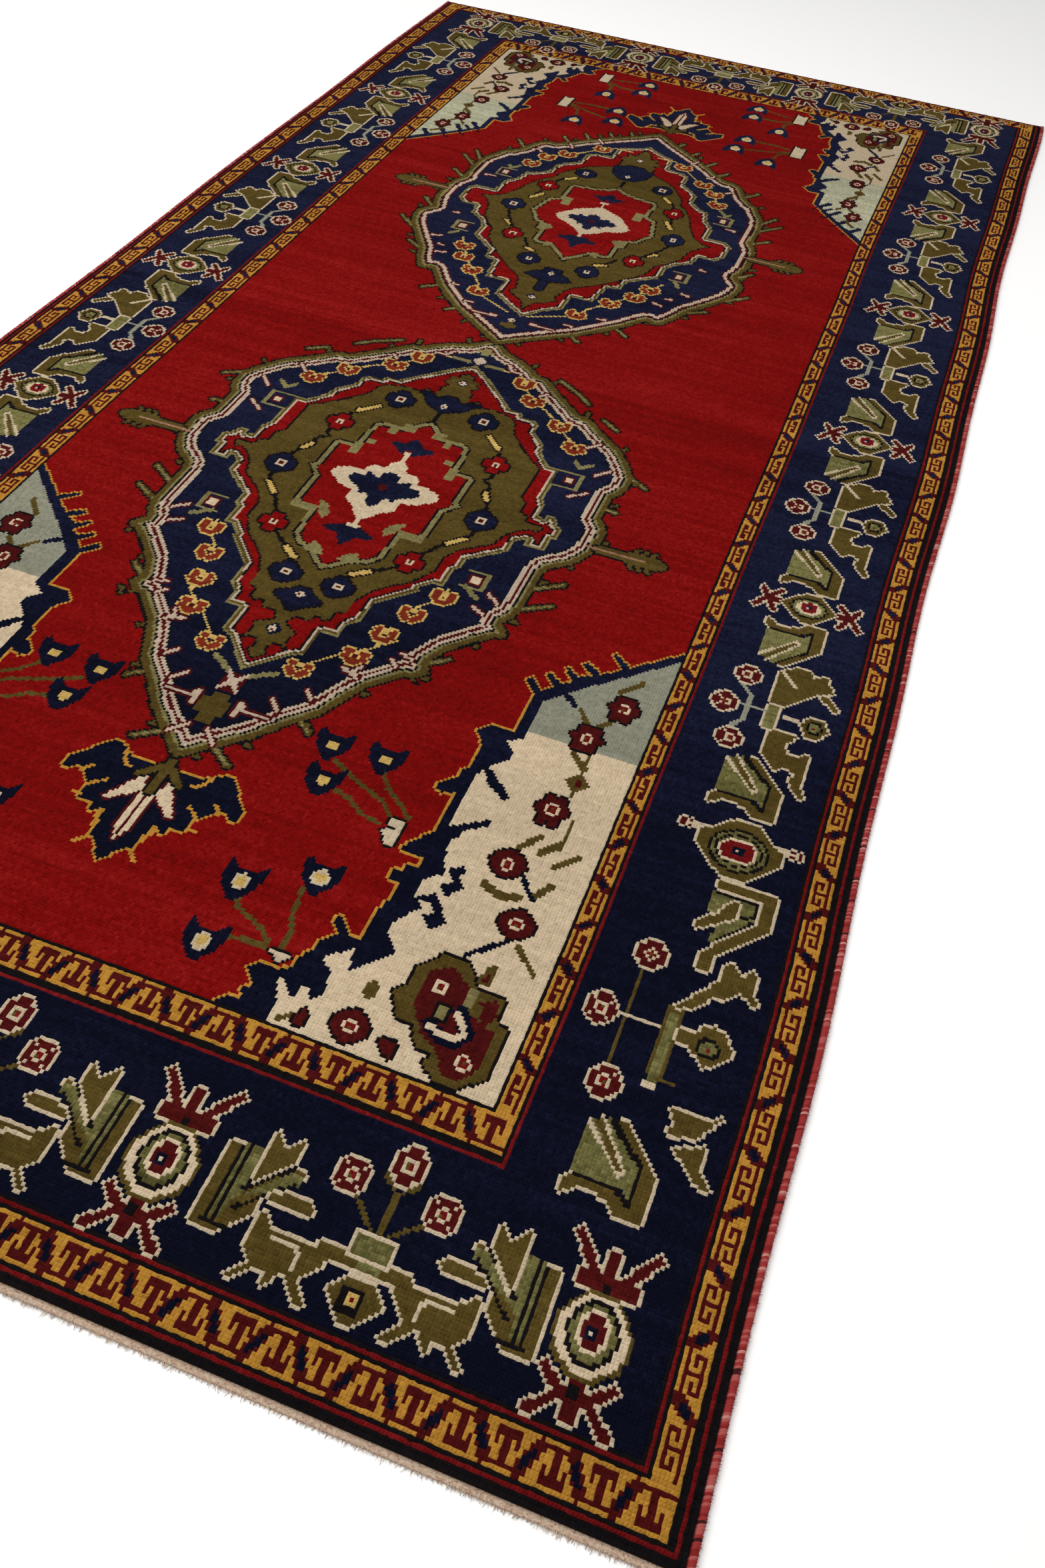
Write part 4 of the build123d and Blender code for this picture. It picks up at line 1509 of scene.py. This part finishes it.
class Faces:
    """Collects faces of any number of corners."""

    def __init__(self):
        self.loops = []
        self.sizes = []
        self.paint = []
        self.smooth = []

    def add(self, corners, paint, smooth):
        """Faces as rows of corner numbers, each with its material."""
        corners = np.asarray(corners)
        self.loops.append(corners.ravel())
        self.sizes.append(np.full(len(corners), corners.shape[1]))
        self.paint.append(np.broadcast_to(paint, len(corners)))
        self.smooth.append(np.full(len(corners), smooth))

    def build(self, name, points, palette):
        """The object, keeping only the points and the materials in use."""
        loops = np.concatenate(self.loops)
        sizes = np.concatenate(self.sizes)
        paint = np.concatenate(self.paint)
        used, loops = np.unique(loops, return_inverse=True)
        tones, paint = np.unique(paint, return_inverse=True)
        starts = np.concatenate([[0], np.cumsum(sizes)[:-1]])
        materials = [palette[tone] for tone in tones]
        return new_object(name, points[used], loops.ravel(), starts, paint, materials,
                          np.concatenate(self.smooth))


def mask_walls(mask):
    """The sides of a mask as corner numbers, each pair with the mask on its left."""
    rows, columns = mask.shape
    full = np.zeros((rows + 2, columns + 2), bool)
    full[1:-1, 1:-1] = mask
    starts, ends = [], []
    for (beyond_r, beyond_c), start, end in (
        ((0, 1), (0, 0), (0, 1)), ((1, 2), (0, 1), (1, 1)),
        ((2, 1), (1, 1), (1, 0)), ((1, 0), (1, 0), (0, 0)),
    ):
        beyond = full[beyond_r:beyond_r + rows, beyond_c:beyond_c + columns]
        r, c = np.nonzero(mask & ~beyond)
        starts.append(corner_id(r + start[0], c + start[1]))
        ends.append(corner_id(r + end[0], c + end[1]))
    return np.concatenate(starts), np.concatenate(ends)


def coarse_cover(mask, block=8):
    """Faces over a mask: large ones where a whole block of knots is covered, one a knot elsewhere.

    A large face keeps every knot corner on a side that meets small faces or an edge, so that the
    cover closes.
    """
    rows, columns = (mask.shape[0] - 1) // block + 1, (mask.shape[1] - 1) // block + 1
    padded = np.zeros((rows * block, columns * block), bool)
    padded[:mask.shape[0], :mask.shape[1]] = mask
    whole = padded.reshape(rows, block, columns, block).all(axis=(1, 3))
    edge = np.zeros((rows + 2, columns + 2), bool)
    edge[1:-1, 1:-1] = whole
    large = []
    for row, column in zip(*np.nonzero(whole)):
        r, c = row * block, column * block
        ring = []
        for is_plain, start, step in (
            (edge[row, column + 1], (r, c), (0, 1)),
            (edge[row + 1, column + 2], (r, c + block), (1, 0)),
            (edge[row + 2, column + 1], (r + block, c + block), (0, -1)),
            (edge[row + 1, column], (r + block, c), (-1, 0)),
        ):
            count = 1 if is_plain else block
            ring += [corner_id(start[0] + step[0] * i, start[1] + step[1] * i) for i in range(count)]
        large.append(ring)
    small = mask & ~np.kron(whole, np.ones((block, block), bool))[:mask.shape[0], :mask.shape[1]]
    r, c = np.nonzero(small)
    quads = np.stack([corner_id(r + dr, c + dc) for dr, dc in KNOT_CORNERS], 1)
    return large, quads


corner_count = corner_x.size
palette = [material for shade_set in yarn_materials for material in shade_set]
paint_of = cartoon * len(SHADES) + shades


def add_tufts(faces, mask, corners, layer, smooth):
    """Four faces for each knot, from its corners on a layer of them to its head."""
    r, c = np.nonzero(mask)
    head = 2 * corner_count + r * KNOTS_ACROSS + c
    ring = [corner_id(r + dr, c + dc) + layer * corner_count for dr, dc in corners]
    for index in range(4):
        faces.add(np.stack([ring[index], ring[(index + 1) % 4], head], 1), paint_of[r, c], smooth)


def add_walls(faces, mask, paint):
    """The upright sides of a mask, between the first layer of corners and the second."""
    start, end = mask_walls(mask)
    faces.add(np.stack([end, start, start + corner_count, end + corner_count], 1), paint, False)


def add_cover(faces, mask, paint, layer, facing):
    """A plain skin over a mask, on a layer of corners, facing up (1) or down (-1)."""
    large, quads = coarse_cover(mask)
    if len(quads):
        faces.add(quads[:, ::facing] + layer * corner_count, paint, False)
    for face in large:
        faces.add(np.array([face[::facing]]) + layer * corner_count, paint, False)


def knotted_piece(name, mask):
    """A zone of pile: a tuft for each knot, closed at its sides and underneath."""
    points = np.concatenate([
        pile_corners.reshape(-1, 3), pile_feet.reshape(-1, 3), pile_heads.reshape(-1, 3),
    ])
    faces = Faces()
    wall_paint = int(np.bincount(paint_of[mask]).argmax())
    add_tufts(faces, mask, KNOT_CORNERS, 0, False)
    add_walls(faces, mask, wall_paint)
    add_cover(faces, mask, wall_paint, 1, -1)
    return faces.build(name, points, palette)


for zone in sorted(set(zones.ravel())):
    piece = knotted_piece("wool_" + zone, zones == zone)
    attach(piece, "root")
    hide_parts(zone)


# ---------------------------------------------------------------------------------------------
# The ground weave, whose underside shows the knots' backs as loops between the wefts
# ---------------------------------------------------------------------------------------------

BACK_DEPTH = 0.45  # millimetres from the loops' backs up to the wefts between them
PLAIN = STONE * len(SHADES) + MIDDLE  # the undyed yarn of the foundation


def ground_piece():
    """The foundation: flat above, where the pile hides it, and ridged underneath."""
    back_z = BACK_DEPTH + chance.uniform(0, 0.12, corner_x.shape)
    points = np.concatenate([
        pile_feet.reshape(-1, 3),
        settle(corner_x, corner_y, back_z).reshape(-1, 3),
        settle(head_x, head_y + LEAN, chance.uniform(0, 0.15, head_x.shape)).reshape(-1, 3),
    ])
    mask = np.ones(cartoon.shape, bool)
    faces = Faces()
    add_cover(faces, mask, PLAIN, 0, 1)
    add_walls(faces, mask, PLAIN)
    add_tufts(faces, mask, KNOT_CORNERS[:1] + KNOT_CORNERS[:0:-1], 1, True)
    return faces.build("wool_ground_weave", points, palette)


ground = ground_piece()
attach(ground, "root")
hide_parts("ground_weave")


# ---------------------------------------------------------------------------------------------
# The selvedges: wool overcast round three cords, and its loose fibres
# ---------------------------------------------------------------------------------------------

def wool_set(name, colours):
    """One material for each colour of a mixed yarn."""
    return [wool(f"{name}_{index}", colour) for index, colour in enumerate(colours)]


selvedge_wools = wool_set("selvedge", [
    (0.27, 0.030, 0.029), (0.20, 0.017, 0.017), (0.36, 0.080, 0.072), (0.46, 0.20, 0.175),
    (0.045, 0.010, 0.011),
])
warp_cottons = wool_set("warp", [
    (0.47, 0.34, 0.25), (0.41, 0.28, 0.20), (0.54, 0.42, 0.31), (0.33, 0.21, 0.15),
])
# How much there is of each: in the overcasting, its loose fibres, the flatweave and the cut warps.
SELVEDGE_MIX = (0.48, 0.21, 0.24, 0.04, 0.03)
FUZZ_MIX = (0.28, 0.08, 0.34, 0.29, 0.01)
WARP_MIX = (0.42, 0.22, 0.28, 0.08)
CUT_END_MIX = (0.35, 0.15, 0.40, 0.10)

TURN_PITCH = 2.7  # millimetres from one turn of the overcasting to the next
CORDS = 3  # in each selvedge
FUZZ_COUNT = 4200  # loose fibres along each selvedge
WEFTS = 5  # in each flatweave strip
CUT_ENDS = KNOTS_ACROSS * 4  # at each end of the rug


def ring_faces(first, segments, rings):
    """The four-cornered faces of a tube whose rings of points follow one another."""
    ring = np.arange(rings - 1)[:, None] * segments + first
    around = np.arange(segments)[None, :]
    beyond = (around + 1) % segments
    return np.stack([ring + around, ring + beyond, ring + segments + beyond,
                     ring + segments + around], -1).reshape(-1, 4)


def add_tube(faces, first, segments, rings, tone):
    """A tube with flat ends, from rings of points of which the first has this number."""
    faces.add(ring_faces(first, segments, rings), tone, True)
    faces.add([np.arange(first, first + segments)[::-1]], 0, False)
    faces.add([np.arange(segments) + first + (rings - 1) * segments], 0, False)


def selvedge_wrap(side, node):
    """Overcasting: one ridge for every turn of the yarn, slanting round the bundle of cords."""
    low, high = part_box(node)
    centre_x, centre_z = (low.x + high.x) * 500, (low.z + high.z) * 500
    wide, tall = (high.x - low.x) * 500, (high.z - low.z) * 500
    segments, per_turn = 12, 4
    turns = int((high.y - low.y) * 1000 / TURN_PITCH)
    rings = turns * per_turn + 1
    turn = np.arange(rings) / per_turn
    swell = 0.86 + 0.14 * np.sqrt(np.abs(np.sin(np.pi * turn)))
    plump = np.repeat(chance.uniform(0.92, 1.04, turns + 1), per_turn)[:rings]
    angle = np.arange(segments) * 2 * np.pi / segments
    radius = (swell * plump)[:, None]
    x = centre_x + wide * radius * np.cos(angle)
    z = centre_z + tall * radius * np.sin(angle)
    slant = 1.5 * np.cos(angle) * side + 0.5 * np.sin(angle)
    ends = np.clip(np.minimum(turn, turns - turn), 0, 1)[:, None]
    y = low.y * 1000 + turn[:, None] * (high.y - low.y) * 1000 / turns + slant * ends
    points = settle(x, y, np.maximum(z, 0.0)).reshape(-1, 3)
    faces = Faces()
    tone = np.repeat(chance.choice(len(selvedge_wools), turns, p=SELVEDGE_MIX), per_turn * segments)
    add_tube(faces, 0, segments, rings, tone)
    return faces.build("wool_" + node, points, selvedge_wools)


def strands(name, roots, headings, lengths, radii, tones, palette, droop=0.0, segments=4, rings=4):
    """Short tapered fibres or cut yarn ends, each bending as it goes, as one piece."""
    count = len(roots)
    t = np.linspace(0, 1, rings)
    bend = chance.normal(0, 0.22, (count, 3))
    spine = (roots[:, None, :] + headings[:, None, :] * (lengths[:, None] * t)[:, :, None]
             + bend[:, None, :] * (lengths[:, None] * t ** 2)[:, :, None])
    spine[:, :, 2] -= droop * (lengths[:, None] * t ** 2)
    across = np.cross(headings, (0.0, 0.0, 1.0))
    across /= np.maximum(np.linalg.norm(across, axis=1, keepdims=True), 1e-6)
    upward = np.cross(across, headings)
    angle = np.arange(segments) * 2 * np.pi / segments
    thick = radii[:, None] * (1 - 0.75 * t)[None, :]
    points = (spine[:, :, None, :]
              + (thick[:, :, None] * np.cos(angle))[..., None] * across[:, None, None, :]
              + (thick[:, :, None] * np.sin(angle))[..., None] * upward[:, None, None, :])
    points[..., 2] = np.maximum(points[..., 2], 0.02)
    points = points.reshape(-1, 3)
    faces = Faces()
    per = segments * rings
    body = ring_faces(0, segments, rings)
    starts = (np.arange(count) * per)[:, None, None]
    faces.add((body[None] + starts).reshape(-1, 4), np.repeat(tones, len(body)), True)
    cap = np.arange(segments)[None, :]
    faces.add(cap[:, ::-1] + np.arange(count)[:, None] * per, tones, False)
    faces.add(cap + (rings - 1) * segments + np.arange(count)[:, None] * per, tones, False)
    return faces.build(name, settle(points[:, 0], points[:, 1], points[:, 2]), palette)


def selvedge_fuzz(side, node):
    """Loose wool fibres along the outside of a selvedge."""
    low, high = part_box(node)
    count = FUZZ_COUNT
    turn = chance.uniform(-0.75, 1.35, count)
    wide, tall = (high.x - low.x) * 500, (high.z - low.z) * 500
    centre_x, centre_z = (low.x + high.x) * 500, (low.z + high.z) * 500
    roots = np.stack([
        centre_x + side * wide * 0.88 * np.cos(turn), chance.uniform(low.y, high.y, count) * 1000,
        centre_z + tall * 0.88 * np.sin(turn),
    ], 1)
    headings = np.stack([
        side * np.cos(turn) * 0.9, chance.normal(0, 0.55, count), 0.8 * np.sin(turn),
    ], 1)
    headings /= np.linalg.norm(headings, axis=1, keepdims=True)
    tones = chance.choice(len(selvedge_wools), count, p=FUZZ_MIX)
    return strands("wool_fuzz_" + node, roots, headings, chance.uniform(1.2, 3.2, count),
                   chance.uniform(0.16, 0.30, count), tones, selvedge_wools, 0.2, 3, 3)


def selvedge_cords(node):
    """The three cords that the overcasting binds."""
    low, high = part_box(node)
    segments, rings = 8, 240
    angle = np.arange(segments) * 2 * np.pi / segments
    y = np.linspace(low.y * 1000, high.y * 1000, rings)
    faces = Faces()
    points = []
    radius = (high.z - low.z) * 500
    gap = ((high.x - low.x) * 1000 - 2 * radius) / (CORDS - 1)
    for index in range(CORDS):
        x = low.x * 1000 + radius + gap * index + radius * np.cos(angle)
        z = (low.z + high.z) * 500 + radius * np.sin(angle)
        x, z, along = np.broadcast_arrays(x, z, y[:, None])
        add_tube(faces, index * segments * rings, segments, rings, chance.integers(0, 3))
        points.append(settle(x, along, z).reshape(-1, 3))
    return faces.build("cotton_" + node, np.concatenate(points), warp_cottons)


# ---------------------------------------------------------------------------------------------
# The two ends: a narrow flatweave, and the short cut warps beyond it
# ---------------------------------------------------------------------------------------------

def kilim_end(end, node):
    """The flatweave strip: wefts packed over and under every warp."""
    low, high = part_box(node)
    columns, rows = KNOTS_ACROSS * 2, WEFTS
    x = np.linspace(low.x, high.x, columns * 2 + 1) * 1000
    y = np.linspace(low.y, high.y, rows * 2 + 1) * 1000
    grid_x, grid_y = np.meshgrid(x, y)
    step_x, step_y = np.meshgrid(np.arange(columns * 2 + 1), np.arange(rows * 2 + 1))
    crown = np.sin(np.pi * step_y / 2) ** 2
    weave = 0.5 + 0.5 * np.cos(np.pi * step_x / 2 + np.pi * (step_y // 2 % 2))
    top = high.z * 1000 - 1.0 + 0.75 * crown * (0.45 + 0.55 * weave)
    top += chance.normal(0, 0.08, top.shape)
    outer = 0 if end < 0 else -1
    top[outer] -= 0.6
    upper = settle(grid_x, grid_y, top).reshape(-1, 3)
    lower = settle(grid_x, grid_y, np.zeros(top.shape)).reshape(-1, 3)
    wide = columns * 2 + 1
    r, c = (index.ravel() for index in np.indices((rows * 2, columns * 2)))
    a = r * wide + c
    faces = Faces()
    tone = chance.choice(len(warp_cottons), (rows, columns), p=WARP_MIX)[r // 2, c // 2]
    faces.add(np.stack([a, a + 1, a + wide + 1, a + wide], 1), tone, True)
    count = len(upper)
    faces.add(np.stack([a + wide, a + wide + 1, a + 1, a], 1) + count, 1, False)
    number = np.arange(count).reshape(rows * 2 + 1, wide)
    rim = np.concatenate([number[0], number[1:, -1], number[-1, -2::-1], number[-2:0:-1, 0]])
    after = np.roll(rim, -1)
    faces.add(np.stack([after, rim, rim + count, after + count], 1), 1, False)
    return faces.build("cotton_" + node, np.concatenate([upper, lower]), warp_cottons)


def warp_ends(end, node):
    """The cut warps: a soft, frayed pair of ends at every knot column."""
    low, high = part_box(node)
    count = CUT_ENDS
    x = np.arange(count) + chance.uniform(0.1, 0.9, count)
    x = x * (high.x - low.x) * 1000 / count + low.x * 1000
    start = (high.y if end < 0 else low.y) * 1000 - end * 1.2
    roots = np.stack([x, np.full(count, start), chance.uniform(0.6, 2.0, count)], 1)
    headings = np.stack([chance.normal(0, 0.35, count), np.full(count, float(end)),
                         chance.normal(0.0, 0.16, count)], 1)
    headings /= np.linalg.norm(headings, axis=1, keepdims=True)
    tones = chance.choice(len(warp_cottons), count, p=CUT_END_MIX)
    return strands("cotton_" + node, roots, headings, chance.uniform(2.0, 5.5, count),
                   chance.uniform(0.32, 0.70, count), tones, warp_cottons, 0.25, 5, 4)


edge_pieces = []  # each with the node that it replaces, if any, and its finish
for side, where in ((-1, "left"), (1, "right")):
    wrap, cords = "selvedge_wrap_" + where, "selvedge_cords_" + where
    edge_pieces += [
        (selvedge_wrap(side, wrap), wrap, "selvedge_wool"), (selvedge_cords(cords), cords, "warp_yarn"),
        (selvedge_fuzz(side, wrap), None, "selvedge_wool"),
    ]
for end, where in ((-1, "near"), (1, "far")):
    kilim, fringe = "kilim_end_" + where, "fringe_" + where
    edge_pieces += [
        (kilim_end(end, kilim), kilim, "warp_yarn"), (warp_ends(end, fringe), fringe, "warp_yarn"),
    ]
for piece, node, finish in edge_pieces:
    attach(piece, "root")
    if node:
        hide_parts(node)


# ---------------------------------------------------------------------------------------------
# The camera, the lights and the floor
# ---------------------------------------------------------------------------------------------

SENSOR = 36.0
FRAME_HEIGHT = 2352  # pixels of the photograph's frame
FOCAL_LENGTH = 1940.7  # in the same pixels, solved from the rug's edges
camera_data = bpy.data.cameras.new("camera")
camera_data.sensor_width = SENSOR
camera_data.sensor_fit = "AUTO"
camera_data.lens = FOCAL_LENGTH / FRAME_HEIGHT * SENSOR
camera_data.clip_start = 0.05
camera = bpy.data.objects.new("camera", camera_data)
bpy.context.scene.collection.objects.link(camera)
# The camera's axes and place, solved from the rug's four edges as well.
right = Vector((0.93640, 0.34289, 0.07471))
above = Vector((-0.30284, 0.68200, 0.66571))
behind = right.cross(above)
camera.matrix_world = Matrix.LocRotScale(
    Vector((0.6269, -1.8596, 1.1484)), Matrix((right, above, behind)).transposed(), None
)
bpy.context.scene.camera = camera


def area_light(name, place, aim, size, power, colour):
    """A soft square lamp."""
    data = bpy.data.lights.new(name, "AREA")
    data.shape = "SQUARE"
    data.size = size
    data.energy = power
    data.color = colour
    lamp = bpy.data.objects.new(name, data)
    lamp.location = place
    lamp.rotation_euler = (Vector(aim) - Vector(place)).to_track_quat("-Z", "Y").to_euler()
    bpy.context.scene.collection.objects.link(lamp)
    return lamp


area_light("window", (-1.9, -0.6, 3.2), (0, -0.2, 0), 2.6, 103, (1.0, 0.98, 0.96))
area_light("ceiling", (0.5, -0.6, 3.6), (0, -0.2, 0), 3.2, 42, (1.0, 0.99, 0.97))

world = bpy.data.worlds.new("studio")
world.use_nodes = True
world.node_tree.nodes["Background"].inputs["Color"].default_value = (1.0, 1.0, 1.0, 1.0)
world.node_tree.nodes["Background"].inputs["Strength"].default_value = 0.50
bpy.context.scene.world = world
bpy.context.scene.view_settings.view_transform = "Standard"

FLOOR_REACH, FLOOR_DROP = 9, 0.0004
floor_mesh = bpy.data.meshes.new("floor")
floor_mesh.from_pydata([(x * FLOOR_REACH, y * FLOOR_REACH, -FLOOR_DROP)
                        for x, y in ((-1, -1), (1, -1), (1, 1), (-1, 1))], [], [(0, 1, 2, 3)])
floor = bpy.data.objects.new("floor", floor_mesh)
bpy.context.scene.collection.objects.link(floor)
paint = bpy.data.materials.new("studio_floor")
paint.use_nodes = True
coat = paint.node_tree.nodes["Principled BSDF"]
coat.inputs["Base Color"].default_value = (0.95, 0.95, 0.945, 1.0)
coat.inputs["Roughness"].default_value = 0.9
floor_mesh.materials.append(paint)
